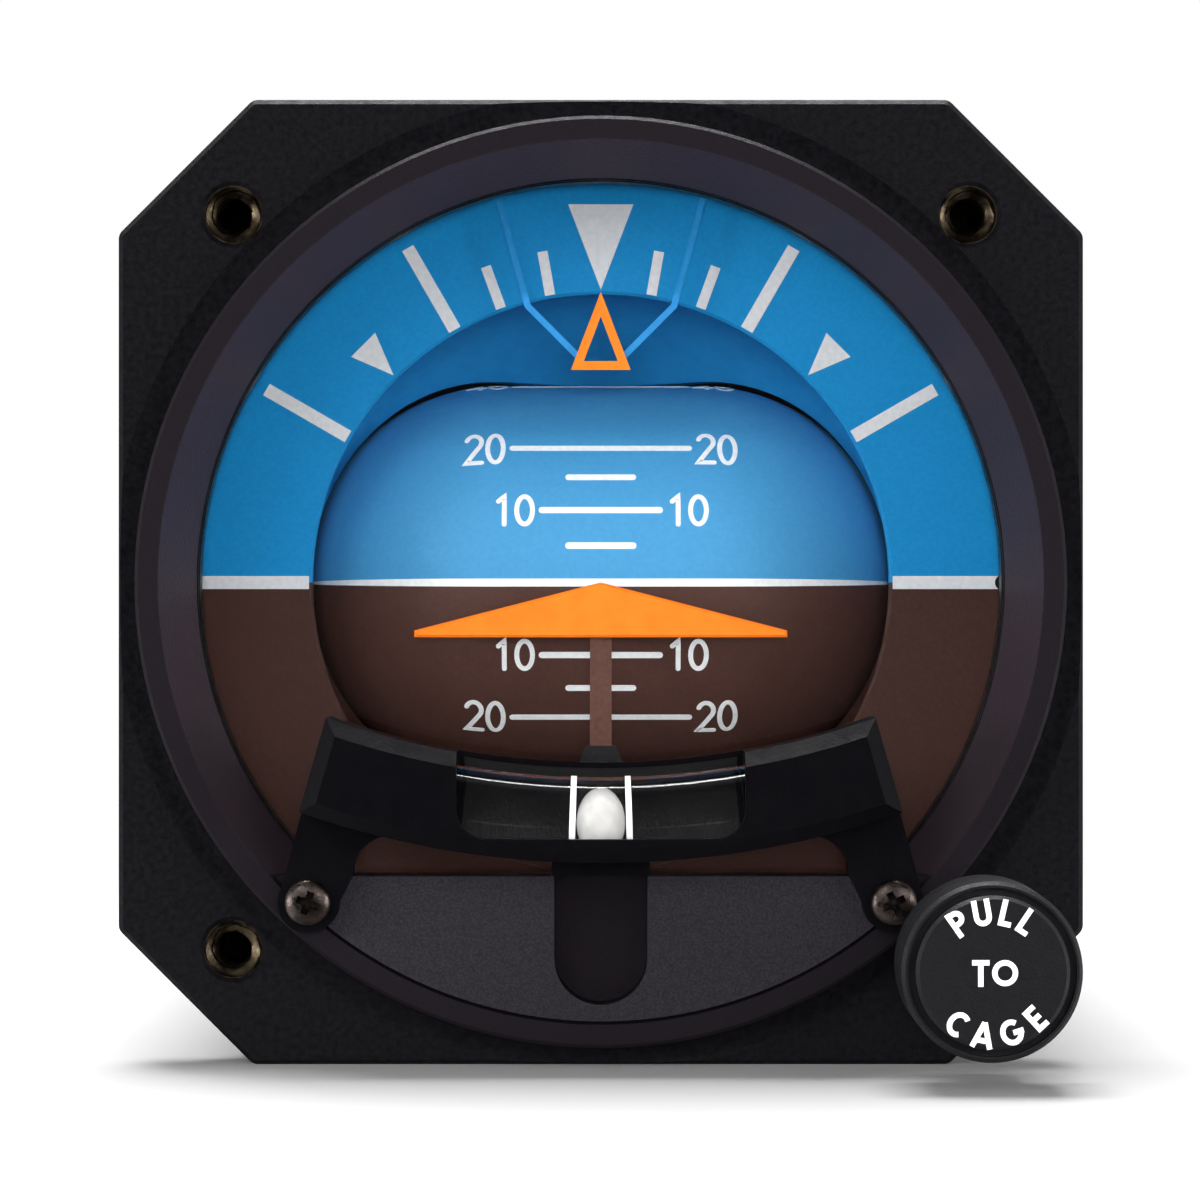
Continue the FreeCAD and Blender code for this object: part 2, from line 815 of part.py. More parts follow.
def side_outline_points():
    lower_wide = gyro_y - gear_r
    upper_wide = gyro_y + gear_r
    top = [(side_y, side_front_height), (drum_y, side_mid_height), (idler_a_y, side_mid_height),
           (lower_wide, side_front_height), (upper_wide, side_front_height),
           (rear_wall_y, side_mid_height)]
    return top + [(y, -z) for y, z in reversed(top)]


def side_plate_screws():
    """Heights of the screws in each side plate's lug and tab."""
    return (-side_screw_z, side_screw_z)


def side_plate_right():
    outer_x = side_x + side_thick
    plate = side_outline(side_outline_points(), side_x, outer_x)
    lug = block((outer_x, outer_x + side_lug_length), (side_y, side_y + side_thick),
                (-side_lug_height, side_lug_height))
    tab = block((side_x - side_tab_length, side_x), (rear_wall_y - side_thick, rear_wall_y),
                (-side_tab_height, side_tab_height))
    body = plate.fuse([lug, tab])
    cuts = [rod_x(drum_bearing_r, side_x, outer_x, drum_y), rod_x(gyro_bearing_r, side_x, outer_x, gyro_y)]
    for y in (idler_a_y, idler_b_y):
        cuts.append(rod_x(idler_post_r, side_x, outer_x, y))
    for z in side_plate_screws():
        cuts.append(rod_y(small_shank_r, side_y, side_y + side_thick, outer_x + side_lug_length / 2, z))
        cuts.append(rod_y(small_shank_r, rear_wall_y - side_thick, rear_wall_y,
                          side_x - side_tab_length / 2, z))
    light_y = (gyro_y + gear_r + rear_wall_y) / 2
    cuts.append(rod_x(lightening_r, side_x, outer_x, light_y))
    return body.cut(cuts).removeSplitter()


def gimbal_side_plates():
    right = side_plate_right()
    return group([right, mirrored(right)])


def gimbal_front_ring():
    ring = tube_along_y(mask_rim_r, front_ring_inner_r, front_ring_y, side_y)
    lug_x = side_x + side_thick + side_lug_length / 2
    cuts = [rod_y(small_shank_r, front_ring_y, side_y, x, z)
            for x in (-lug_x, lug_x) for z in side_plate_screws()]
    return ring.cut(cuts)


def gimbal_rear_wall():
    wall = rod_y(rear_wall_r, rear_wall_y, rear_wall_end_y)
    wall = wall.common(block((-rear_wall_r, rear_wall_r), (rear_wall_y, rear_wall_end_y),
                             (-rear_wall_height, rear_wall_height)))
    tab_x = side_x - side_tab_length / 2
    cuts = [rod_y(small_shank_r, rear_wall_y, rear_wall_end_y, x, z)
            for x in (-tab_x, tab_x) for z in side_plate_screws()]
    return wall.cut(cuts)


def gimbal_screws():
    lug_x = side_x + side_thick + side_lug_length / 2
    tab_x = side_x - side_tab_length / 2
    lug_seat_y = side_y + side_thick
    lug_length = front_ring_thick + side_thick - screw_tip_gap
    tab_length = rear_wall_thick + side_thick - screw_tip_gap
    shapes = []
    for side in (-1, 1):
        for z in side_plate_screws():
            shapes.append(screw(gimbal_head_r, gimbal_head_height, small_shank_r, lug_length,
                                vec(side * lug_x, lug_seat_y, z), vec(0, -1, 0)))
            shapes.append(screw(gimbal_head_r, gimbal_head_height, small_shank_r, tab_length,
                                vec(side * tab_x, rear_wall_end_y, z), vec(0, -1, 0)))
    return group(shapes)


def pivot_bearings():
    """The drum's and the gyro's bearings, flush in the two side plates."""
    shapes = []
    for outer_r, axle_r, y in ((drum_bearing_r, drum_axle_r, drum_y), (gyro_bearing_r, trunnion_r, gyro_y)):
        right = tube_along_x(outer_r, axle_r + pivot_gap, side_x, side_x + side_thick, y)
        shapes += [right, mirrored(right)]
    return group(shapes)


# --- pitch gears

def gear(teeth, centre_y, first_tooth_deg, bore_r):
    """A spur gear across X. Each flank is an arc through three points of its involute."""
    pitch_r = gear_module * teeth / 2
    base_r = pitch_r * math.cos(math.radians(pressure_angle))
    tip_r = pitch_r + gear_module
    root_r = pitch_r - gear_root_depth * gear_module
    start_r = max(base_r, root_r)

    def involute(radius):
        roll = math.sqrt(max((radius / base_r) ** 2 - 1.0, 0.0))
        return roll - math.atan(roll)

    half_tooth = math.pi / (2 * teeth) - tooth_play / (2 * pitch_r)

    def point(radius, angle):
        return vec(gear_x, centre_y + radius * math.cos(angle), radius * math.sin(angle))

    def flank(middle, side):
        radii = (start_r, (start_r + tip_r) / 2, tip_r)
        offsets = [half_tooth + involute(pitch_r) - involute(radius) for radius in radii]
        return [point(radius, middle + side * offset) for radius, offset in zip(radii, offsets)]

    edges = []
    pitch_angle = 2 * math.pi / teeth
    start_angle = math.radians(first_tooth_deg)
    for i in range(teeth):
        middle = start_angle + i * pitch_angle
        rising = flank(middle, -1)
        falling = flank(middle, 1)
        falling.reverse()
        next_rising = flank(middle + pitch_angle, -1)
        spread = half_tooth + involute(pitch_r) - involute(start_r)
        root_out = point(root_r, middle + spread)
        root_next = point(root_r, middle + pitch_angle - spread)
        edges.append(Part.Arc(rising[0], rising[1], rising[2]).toShape())
        edges.append(Part.LineSegment(rising[2], falling[0]).toShape())
        edges.append(Part.Arc(falling[0], falling[1], falling[2]).toShape())
        if start_r - root_r > 1e-4:
            edges.append(Part.LineSegment(falling[2], root_out).toShape())
            edges.append(Part.LineSegment(root_out, root_next).toShape())
            edges.append(Part.LineSegment(root_next, next_rising[0]).toShape())
        else:
            edges.append(Part.LineSegment(falling[2], next_rising[0]).toShape())
    blank = Part.Face(Part.Wire(edges)).extrude(vec(gear_thick, 0, 0))
    return blank.cut(rod_x(bore_r, gear_x, gear_x + gear_thick, centre_y))


def pitch_gear():
    wheel = gear(gyro_teeth, gyro_y, 180.0, trunnion_r)
    hole_ring_r = (gear_r + trunnion_r) / 2
    holes = []
    for i in range(gear_hole_count):
        angle = 2 * math.pi * i / gear_hole_count
        holes.append(rod_x(gear_hole_r, gear_x, gear_x + gear_thick,
                           gyro_y + hole_ring_r * math.cos(angle), hole_ring_r * math.sin(angle)))
    return wheel.cut(holes)


def idler_gear(centre_y):
    return gear(idler_teeth, centre_y, 180.0, idler_post_r + rod_gap)


def drum_pinion():
    return gear(drum_teeth, drum_y, 180.0 + 180.0 / drum_teeth, drum_axle_r)


def idler_posts():
    shapes = []
    head_x = gear_x + gear_thick + gear_side_gap / 2
    for y in (idler_a_y, idler_b_y):
        post = rod_x(idler_post_r, side_x, head_x, y)
        head = rod_x(post_head_r, head_x, head_x + post_head_thick, y)
        spacer = tube_along_x(post_head_r, idler_post_r, side_x + side_thick, gear_x - gear_side_gap / 4, y)
        shapes.append(post.fuse([head, spacer]).removeSplitter())
    return group(shapes)


def balance_weight():
    """A bar on the left-hand plate, as long as it takes to balance the gears and their posts."""
    moment = 0.0
    for shape in (pitch_gear(), idler_gear(idler_a_y), idler_gear(idler_b_y), drum_pinion(), idler_posts()):
        moment += sum(solid.Volume * solid.CenterOfMass.x for solid in shape.Solids)
    near_x = side_x + side_thick
    arm = near_x + balance_thick / 2
    length = moment / (arm * balance_thick * balance_height)
    end_y = gyro_y - gyro_bearing_r - post_head_r
    return block((-near_x - balance_thick, -near_x), (end_y - length, end_y),
                 (-balance_height / 2 - balance_drop, balance_height / 2 - balance_drop))


# --- gyro, spinning about Z

def gyro_housing():
    wall_top = gyro_half_height - gyro_end_wall
    cup = tube_along_z(gyro_r, gyro_r - gyro_wall, -gyro_half_height, wall_top, gyro_y)
    floor = rod_z(gyro_r, -gyro_half_height, -gyro_half_height + gyro_end_wall, gyro_y)
    floor = floor.cut(rod_z(rotor_bearing_r, -gyro_half_height, 0, gyro_y))
    boss_x = side_x - gear_side_gap
    boss = rod_x(gyro_bearing_r, gyro_r - gyro_wall, boss_x, gyro_y)
    body = cup.fuse([floor, boss, mirrored(boss)])
    body = body.cut(rod_z(gyro_r - gyro_wall, -gyro_half_height + gyro_end_wall, wall_top, gyro_y))
    return body.cut(rod_x(trunnion_r, -boss_x, boss_x, gyro_y)).removeSplitter()


def gyro_cap():
    """The lid of the gyro's housing, with the post that the erector turns on."""
    low = gyro_half_height - gyro_end_wall
    cap = rod_z(gyro_r, low, gyro_half_height, gyro_y)
    cap = cap.cut(rod_z(rotor_bearing_r, low, gyro_half_height, gyro_y))
    return cap.fuse(erector_post()).removeSplitter()


def gyro_trunnions():
    start_x = gyro_r - gyro_wall
    right = rod_x(trunnion_r, start_x, gear_x + gear_thick, gyro_y)
    return group([right, mirrored(right)])


def rotor_bearings():
    low = gyro_half_height - gyro_end_wall
    upper = tube_along_z(rotor_bearing_r, rotor_shaft_r + pivot_gap, low, gyro_half_height, gyro_y)
    lower = tube_along_z(rotor_bearing_r, rotor_shaft_r + pivot_gap, -gyro_half_height, -low, gyro_y)
    return group([upper, lower])


def rotor_wheel():
    rim_inner = rotor_r - rotor_rim
    web_low = rotor_half_height - rotor_web
    hub_low = web_low - rotor_hub_length
    return turned_z([(rotor_shaft_r, hub_low), (stator_stem_r, hub_low), (stator_stem_r, web_low),
                     (rim_inner, web_low), (rim_inner, -rotor_half_height), (rotor_r, -rotor_half_height),
                     (rotor_r, rotor_half_height), (rotor_shaft_r, rotor_half_height)], gyro_y)


def rotor_shaft():
    end_z = gyro_half_height - rotor_end_gap
    collar_z = gyro_half_height - gyro_end_wall - rotor_end_gap
    shaft = rod_z(rotor_shaft_r, -end_z, end_z, gyro_y)
    upper = rod_z(rotor_collar_r, rotor_half_height, collar_z, gyro_y)
    return shaft.fuse(upper).removeSplitter()


def rotor():
    return group([rotor_wheel(), rotor_shaft()])


def stator():
    floor_z = -gyro_half_height + gyro_end_wall
    core_low = -rotor_half_height
    core_top = rotor_half_height - rotor_web - stator_web_gap
    bore_r = rotor_shaft_r + stator_shaft_gap
    stem_r = stator_stem_r + stator_stem_wall
    return turned_z([(bore_r, floor_z), (stem_r, floor_z), (stem_r, core_low), (stator_r, core_low),
                     (stator_r, core_top), (bore_r, core_top)], gyro_y)


def erector_disc():
    low = gyro_half_height + erector_gap
    disc = rod_z(erector_r, low, low + erector_thick, gyro_y)
    cuts = [rod_z(erector_post_r + rod_gap, low, low + erector_thick, gyro_y)]
    for x, z in on_circle(erector_pocket_count, erector_pocket_ring_r):
        cuts.append(rod_z(erector_pocket_r, low + erector_floor, low + erector_thick, gyro_y + z, x))
    return disc.cut(cuts)


def erector_post():
    low = gyro_half_height + erector_gap
    top = low + erector_thick + erector_gap
    base_r = rotor_bearing_r + erector_post_r
    base = rod_z(base_r, gyro_half_height, gyro_half_height + erector_gap / 2, gyro_y)
    post = rod_z(erector_post_r, gyro_half_height, top, gyro_y)
    head = rod_z(post_head_r, top, top + post_head_thick, gyro_y)
    return base.fuse([post, head]).removeSplitter()


def gyro_ballast():
    return tube_along_z(erector_r, ballast_inner_r, -gyro_half_height - erector_thick,
                        -gyro_half_height, gyro_y)


# --- roll shaft and its carrier

def caging_cam():
    """A face cam on the back of the gimbal, higher at the bottom than at the top."""
    high_y = rear_wall_end_y + cam_thick
    low_y = rear_wall_end_y + cam_low
    ring = tube_along_y(cam_r, shaft_flange_r + cam_bore_gap, rear_wall_end_y, high_y)
    wedge = side_outline([(high_y, -cam_r), (low_y, cam_r), (high_y, cam_r)], -cam_r, cam_r)
    return ring.cut(wedge)


def roll_shaft():
    flange_end_y = rear_wall_end_y + shaft_flange_thick
    shaft_end_y = hub_end_y + shaft_nut_width
    flange = rod_y(shaft_flange_r, rear_wall_end_y, flange_end_y)
    shaft = flange.fuse(rod_y(shaft_r, flange_end_y, shaft_end_y)).removeSplitter()
    nut = tube_along_y(shaft_nut_r, shaft_r, hub_end_y + nut_gap, shaft_end_y)
    return group([shaft, nut])


def rear_bearing_y():
    return hub_end_y - bearing_width


def roll_bearings():
    shapes = []
    for y in (bulkhead_y + bulkhead_lip, rear_bearing_y()):
        shapes.append(tube_along_y(bearing_r, shaft_r + pivot_gap, y, y + bearing_width))
    return group(shapes)


def slip_ring_y():
    front_end = bulkhead_y + bulkhead_lip + bearing_width
    return (front_end + rear_bearing_y() - slip_ring_length) / 2


def slip_rings():
    start_y = slip_ring_y()
    pitch = slip_ring_length / slip_ring_count
    drum = tube_along_y(slip_ring_r, shaft_r, start_y, start_y + slip_ring_length)
    grooves = []
    for i in range(1, slip_ring_count):
        middle = start_y + i * pitch
        grooves.append(tube_along_y(slip_ring_r + cut_past, slip_ring_r - slip_ring_groove,
                                    middle - slip_ring_groove / 2, middle + slip_ring_groove / 2))
    return drum.cut(grooves)


def brush_block():
    start_x = slip_ring_r + brush_gap
    holder = block((start_x + brush_reach, start_x + brush_length),
                   (slip_ring_y(), slip_ring_y() + slip_ring_length), (-brush_height / 2, brush_height / 2))
    pitch = slip_ring_length / slip_ring_count
    brushes = []
    for i in range(slip_ring_count):
        middle = slip_ring_y() + (i + 0.5) * pitch
        brushes.append(rod_x(slip_ring_groove / 2, start_x, start_x + brush_reach, middle))
    return holder.fuse(brushes)


def bearing_bulkhead():
    rim_end_y = bulkhead_y + bulkhead_rim
    rim_inner_r = spigot_r - bulkhead_rim_wall
    rim = tube_along_y(spigot_r, rim_inner_r, bulkhead_y, rim_end_y)
    web = rod_y((spigot_r + rim_inner_r) / 2, bulkhead_y, bulkhead_y + bulkhead_web)
    hub = rod_y(hub_outer_r, bulkhead_y, hub_end_y)
    pads = [rod_y(bulkhead_pad_r, bulkhead_y, rim_end_y, x, z) for x, z in on_circle(4, post_ring_r)]
    body = rim.fuse([web, hub] + pads)
    cuts = [rod_y(bearing_r, bulkhead_y + bulkhead_lip, hub_end_y), rod_y(shaft_nut_r, bulkhead_y, hub_end_y)]
    for x, z in on_circle(window_hole_count, window_hole_ring_r, 180.0 / window_hole_count):
        cuts.append(rod_y(window_hole_r, bulkhead_y, rim_end_y, x, z))
    cuts.append(block((0, hub_outer_r + cut_past), (slip_ring_y(), slip_ring_y() + slip_ring_length),
                      (-brush_height / 2, brush_height / 2)))
    for x, z in case_screw_lines():
        cuts.append(radial_rod(case_screw_r, rim_inner_r - cut_past, case_inner_r, x, z, rear_screw_y()))
    return body.cut(cuts).removeSplitter()


def rear_screw_y():
    return bulkhead_y + bulkhead_rim / 2


# --- caging rod

def cage_rod():
    rod = rod_y(rod_r, knob_front_y + knob_rod_depth, fork_rest_y + fork_thick, screw_half, -screw_half)
    clip = tube_along_y(clip_r, rod_r, clip_y, clip_y + clip_thick, screw_half, -screw_half)
    return group([rod, clip])


def cage_knob():
    head_end_y = knob_front_y + knob_head_length
    groove_r = knob_face_r + knob_groove_width
    face_y = knob_front_y - knob_edge
    profile = [(0, face_y), (knob_face_r - knob_chamfer, face_y), (knob_face_r, face_y + knob_chamfer),
               (knob_face_r, knob_front_y + knob_groove_depth), (groove_r, knob_front_y + knob_groove_depth),
               (groove_r, knob_front_y), (knob_r - knob_chamfer, knob_front_y),
               (knob_r, knob_front_y + knob_chamfer),
               (knob_r, head_end_y - knob_edge), (knob_r - knob_edge, head_end_y), (knob_neck_r, head_end_y),
               (knob_neck_r, knob_rear_y), (rod_r, knob_rear_y), (rod_r, knob_front_y + knob_rod_depth),
               (0, knob_front_y + knob_rod_depth)]
    return turned_y(profile, screw_half, -screw_half)


def rod_bushing():
    body = rod_y(bushing_r, 0, flange_thick, screw_half, -screw_half)
    flange = rod_y(bushing_flange_r, flange_thick, flange_thick + bushing_flange_thick,
                   screw_half, -screw_half)
    bore = rod_y(rod_r + rod_gap, 0, flange_thick + bushing_flange_thick, screw_half, -screw_half)
    return body.fuse(flange).removeSplitter().cut(bore)


def cage_spring():
    """Compression spring of flat wire between the bushing and the clip, in straight facets."""
    start_y = flange_thick + bushing_flange_thick
    length = clip_y - start_y - 2 * spring_wire_r
    steps = spring_turns * spring_facets
    rings = []
    for i in range(steps + 1):
        angle = 2 * math.pi * i / spring_facets
        y = start_y + spring_wire_r + length * i / steps
        ring = []
        for out, along in ((-1, -1), (1, -1), (1, 1), (-1, 1)):
            radius = spring_coil_r + out * spring_wire_r
            ring.append(vec(screw_half + radius * math.cos(angle), y + along * spring_wire_r,
                            -screw_half + radius * math.sin(angle)))
        rings.append(ring)
    faces = [Part.Face(Part.makePolygon(ring + ring[:1])) for ring in (rings[0], rings[-1])]
    for near, far in zip(rings, rings[1:]):
        for i in range(4):
            j = (i + 1) % 4
            faces.append(Part.Face(Part.makePolygon([near[i], near[j], far[j], near[i]])))
            faces.append(Part.Face(Part.makePolygon([near[i], far[j], far[i], near[i]])))
    return Part.Solid(Part.Shell(faces))


def cage_fork():
    end_y = fork_rest_y + fork_thick
    hub = rod_y(fork_hub_r, fork_rest_y, end_y, corner_r, 0)
    arm_start_x = (fork_inner_r + fork_outer_r) / 2
    arm = block((arm_start_x, corner_r), (fork_rest_y, end_y), (-fork_arm_width / 2, fork_arm_width / 2))
    yoke = tube_along_y(fork_outer_r, fork_inner_r, fork_rest_y, end_y)
    yoke = yoke.common(block((0, fork_outer_r), (fork_rest_y, end_y), (-fork_outer_r, fork_outer_r)))
    body = hub.fuse([arm, yoke]).removeSplitter().cut(rod_y(rod_r, fork_rest_y, end_y, corner_r, 0))
    return to_corner(body)


# --- case and rear

def main_case():
    tunnel_outer_r = tunnel_r + tunnel_wall
    tunnel_end_y = bulkhead_y + bulkhead_rim
    shell = rod_y(case_outer_r, flange_thick, case_end_y)
    tunnel = rod_y(tunnel_outer_r, flange_thick, tunnel_end_y, corner_r, 0)
    web = block((spigot_r / 2, corner_r), (flange_thick, tunnel_end_y), (-tunnel_outer_r, tunnel_outer_r))
    tunnel_bore = rod_y(tunnel_r, flange_thick, tunnel_end_y - tunnel_wall, corner_r, 0)
    slot_start_y = fork_rest_y - cage_travel - fork_thick
    slot_end_y = fork_rest_y + fork_thick + fork_slot_end_gap
    slot = block((case_inner_r - case_wall, corner_r), (slot_start_y, slot_end_y),
                 (-fork_slot_width / 2, fork_slot_width / 2))
    body = shell.fuse([to_corner(tunnel), to_corner(web)])
    cuts = [rod_y(case_inner_r, flange_thick, case_end_y), to_corner(tunnel_bore), to_corner(slot)]
    for x, z in case_screw_lines():
        for y in (front_screw_y(), rear_screw_y()):
            cuts.append(radial_rod(case_screw_r, spigot_r, case_outer_r + cut_past, x, z, y))
    return body.cut(cuts).removeSplitter()


def case_screws():
    shapes = []
    for x, z in case_screw_lines():
        for y in (front_screw_y(), rear_screw_y()):
            seat = vec(x * case_outer_r, y, z * case_outer_r)
            shapes.append(screw(case_screw_head_r, case_screw_head, case_screw_r,
                                case_wall + case_screw_reach, seat, vec(-x, 0, -z)))
    return group(shapes)


def rear_cover():
    plate = rod_y(case_outer_r, case_end_y, cover_end_y)
    plate = plate.makeChamfer(edge_break, edges_at_y(plate, cover_end_y))
    lip = tube_along_y(spigot_r, spigot_r - cover_lip_wall, case_end_y - cover_lip, case_end_y)
    body = plate.fuse(lip).removeSplitter()
    cuts = [rod_y(board_stud_r + hole_gap, case_end_y, cover_end_y, x, z)
            for x, z in on_circle(4, post_ring_r)]
    cuts.append(rod_y(socket_shell_r - socket_wall, case_end_y, cover_end_y))
    for x, z in socket_screw_places():
        cuts.append(rod_y(small_shank_r, case_end_y, cover_end_y, x, z))
    return body.cut(cuts)


def rear_screws():
    """The screws of the rear cover, and those of the connector."""
    return group(cover_screws() + socket_screws())


def cover_screws():
    length = cover_end_y - board_y - board_thick - board_stud_length - screw_tip_gap
    return [screw(cover_screw_head_r, pan_head_height, board_stud_r, length, vec(x, cover_end_y, z),
                  vec(0, -1, 0)) for x, z in on_circle(4, post_ring_r)]


def circuit_board():
    board = rod_y(board_r, board_y, board_y + board_thick)
    return board.cut([rod_y(board_stud_r, board_y, board_y + board_thick, x, z)
                      for x, z in on_circle(4, post_ring_r)])


def board_posts():
    base_y = bulkhead_y + bulkhead_rim
    back_y = board_y + board_thick
    shapes = []
    for x, z in on_circle(4, post_ring_r):
        post = rod_y(board_post_r, base_y, board_y, x, z)
        stud = rod_y(board_stud_r, board_y, back_y + board_stud_length, x, z)
        shapes.append(post.fuse(stud).removeSplitter())
        shapes.append(tube_along_y(board_post_r, board_stud_r, back_y, case_end_y, x, z))
    return group(shapes)


def board_parts():
    transformer = block((-transformer_width / 2, transformer_width / 2),
                        (board_y - transformer_depth, board_y),
                        (transformer_top_z - transformer_height, transformer_top_z))
    shapes = [transformer]
    for side in (-1, 1):
        shapes.append(rod_y(capacitor_r, board_y - capacitor_length, board_y,
                            side * capacitor_x, capacitor_z))
        left_x = side * chip_x - chip_width / 2
        shapes.append(block((left_x, left_x + chip_width), (board_y - chip_thick, board_y),
                            (chip_top_z - chip_height, chip_top_z)))
    return group(shapes)


def socket_screw_places():
    half = socket_flange / 2 - socket_screw_inset
    return [(x, z) for x in (-half, half) for z in (-half, half)]


def socket_shell():
    flange_end_y = cover_end_y + socket_flange_thick
    half = socket_flange / 2
    flange = block((-half, half), (cover_end_y, flange_end_y), (-half, half))
    flange = flange.makeFillet(socket_screw_inset, edges_along_y(flange))
    shell = rod_y(socket_shell_r, flange_end_y, flange_end_y + socket_length)
    body = flange.fuse(shell)
    cuts = [rod_y(socket_shell_r - socket_wall, cover_end_y, flange_end_y + socket_length)]
    for x, z in socket_screw_places():
        cuts.append(rod_y(small_shank_r + hole_gap, cover_end_y, flange_end_y, x, z))
    return body.cut(cuts)


def socket_insert_y():
    return cover_end_y + socket_flange_thick + socket_length - socket_insert_depth


def pin_places():
    return on_circle(pin_count, pin_ring_r, 90.0)


def socket_insert():
    insert = rod_y(socket_shell_r - socket_wall - socket_insert_gap, case_end_y, socket_insert_y())
    return insert.cut([rod_y(pin_r, case_end_y, socket_insert_y(), x, z) for x, z in pin_places()])


def socket_pins():
    tip_y = socket_insert_y() + pin_length
    return group([rod_y(pin_r, case_end_y - pin_tail, tip_y, x, z) for x, z in pin_places()])


def socket_screws():
    seat_y = cover_end_y + socket_flange_thick
    length = socket_flange_thick + cover_thick - screw_tip_gap
    return [screw(socket_screw_head_r, socket_screw_head, small_shank_r, length,
                  vec(x, seat_y, z), vec(0, -1, 0)) for x, z in socket_screw_places()]


nodes = {
    "bezel": bezel,
    "panel_inserts": panel_inserts,
    "front_glass": front_glass,
    "glass_retainer": glass_retainer,
    "seal_rings": seal_rings,
    "lower_plate": lower_plate,
    "inclinometer_bracket": inclinometer_bracket,
    "inclinometer_tube": inclinometer_tube,
    "tube_fittings": tube_fittings,
    "slip_ball": slip_ball,
    "bracket_screws": bracket_screws,
    "aircraft_symbol": aircraft_symbol,
    "aircraft_post": aircraft_post,
    "sky_pointer": sky_pointer,
    "sky_pointer_arms": sky_pointer_arms,
    "roll_dial": roll_dial,
    "sky_mask": lambda: mask_half(1),
    "ground_mask": lambda: mask_half(-1),
    "pitch_drum": pitch_drum,
    "drum_axle": drum_axle,
    "pivot_bearings": pivot_bearings,
    "gimbal_front_ring": gimbal_front_ring,
    "gimbal_side_plates": gimbal_side_plates,
    "gimbal_rear_wall": gimbal_rear_wall,
    "gimbal_screws": gimbal_screws,
    "pitch_gear": pitch_gear,
    "idler_gear_a": lambda: idler_gear(idler_a_y),
    "idler_gear_b": lambda: idler_gear(idler_b_y),
    "drum_pinion": drum_pinion,
    "idler_posts": idler_posts,
    "balance_weight": balance_weight,
    "gyro_housing": gyro_housing,
    "gyro_cap": gyro_cap,
    "gyro_trunnions": gyro_trunnions,
    "rotor_bearings": rotor_bearings,
    "rotor": rotor,
    "stator": stator,
    "erector_disc": erector_disc,
    "gyro_ballast": gyro_ballast,
    "caging_cam": caging_cam,
    "roll_shaft": roll_shaft,
    "roll_bearings": roll_bearings,
    "slip_rings": slip_rings,
    "brush_block": brush_block,
    "bearing_bulkhead": bearing_bulkhead,
    "cage_rod": cage_rod,
    "cage_knob": cage_knob,
    "rod_bushing": rod_bushing,
    "cage_spring": cage_spring,
    "cage_fork": cage_fork,
    "main_case": main_case,
    "case_screws": case_screws,
    "rear_cover": rear_cover,
    "rear_screws": rear_screws,
    "circuit_board": circuit_board,
    "board_posts": board_posts,
    "board_parts": board_parts,
    "socket_shell": socket_shell,
    "socket_insert": socket_insert,
    "socket_pins": socket_pins,
}

os.makedirs("parts", exist_ok=True)
for name, build in nodes.items():
    build().exportStep("parts/" + name + ".step")
print(len(nodes), "nodes written")
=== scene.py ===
import json
import math

import bmesh
import bpy
from mathutils import Matrix, Vector


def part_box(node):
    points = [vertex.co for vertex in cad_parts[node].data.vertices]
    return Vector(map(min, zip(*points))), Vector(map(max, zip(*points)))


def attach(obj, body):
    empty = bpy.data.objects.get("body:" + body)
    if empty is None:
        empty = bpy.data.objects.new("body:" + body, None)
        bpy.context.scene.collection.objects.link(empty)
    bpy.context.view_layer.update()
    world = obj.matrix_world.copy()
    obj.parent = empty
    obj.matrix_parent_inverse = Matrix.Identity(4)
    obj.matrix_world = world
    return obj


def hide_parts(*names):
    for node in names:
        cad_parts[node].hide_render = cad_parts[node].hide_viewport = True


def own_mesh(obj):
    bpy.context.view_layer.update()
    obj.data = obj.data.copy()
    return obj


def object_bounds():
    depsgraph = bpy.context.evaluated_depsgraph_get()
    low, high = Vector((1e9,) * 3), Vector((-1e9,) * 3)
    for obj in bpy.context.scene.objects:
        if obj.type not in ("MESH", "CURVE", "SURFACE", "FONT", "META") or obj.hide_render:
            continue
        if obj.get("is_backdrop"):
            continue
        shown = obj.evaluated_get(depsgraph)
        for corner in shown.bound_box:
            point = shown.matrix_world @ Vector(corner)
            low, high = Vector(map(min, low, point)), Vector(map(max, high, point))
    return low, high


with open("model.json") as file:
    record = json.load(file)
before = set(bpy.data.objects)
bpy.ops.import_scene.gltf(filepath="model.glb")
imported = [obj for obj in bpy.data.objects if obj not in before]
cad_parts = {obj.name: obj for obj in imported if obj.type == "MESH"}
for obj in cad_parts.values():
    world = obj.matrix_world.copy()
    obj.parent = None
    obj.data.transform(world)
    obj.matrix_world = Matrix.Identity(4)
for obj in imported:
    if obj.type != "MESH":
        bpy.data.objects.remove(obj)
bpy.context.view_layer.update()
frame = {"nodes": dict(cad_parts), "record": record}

mm = 0.001  # the pieces' sizes are in millimetres, and the studio's are in metres
white = "#ffffff"
sunk = 0.02  # marks start this many millimetres under the surface that they lie on
nodes = frame["nodes"]
finishes = {}


def hexColour(code):
    # sRGB hex to the linear colour that Blender works in
    channels = [int(code[i:i + 2], 16) / 255 for i in (1, 3, 5)]
    linear = [c / 12.92 if c <= 0.04045 else ((c + 0.055) / 1.055) ** 2.4 for c in channels]
    return (*linear, 1.0)


def perMetre(sizeMm):
    # texture scale that gives one feature in this many millimetres
    return 1.0 / (sizeMm * mm)


def addNode(tree, kind, values=None, links=None, **settings):
    node = tree.nodes.new(kind)
    for name, value in settings.items():
        setattr(node, name, value)
    for key, value in (values or {}).items():
        node.inputs[key].default_value = value
    for key, source in (links or {}).items():
        tree.links.new(source, node.inputs[key])
    return node


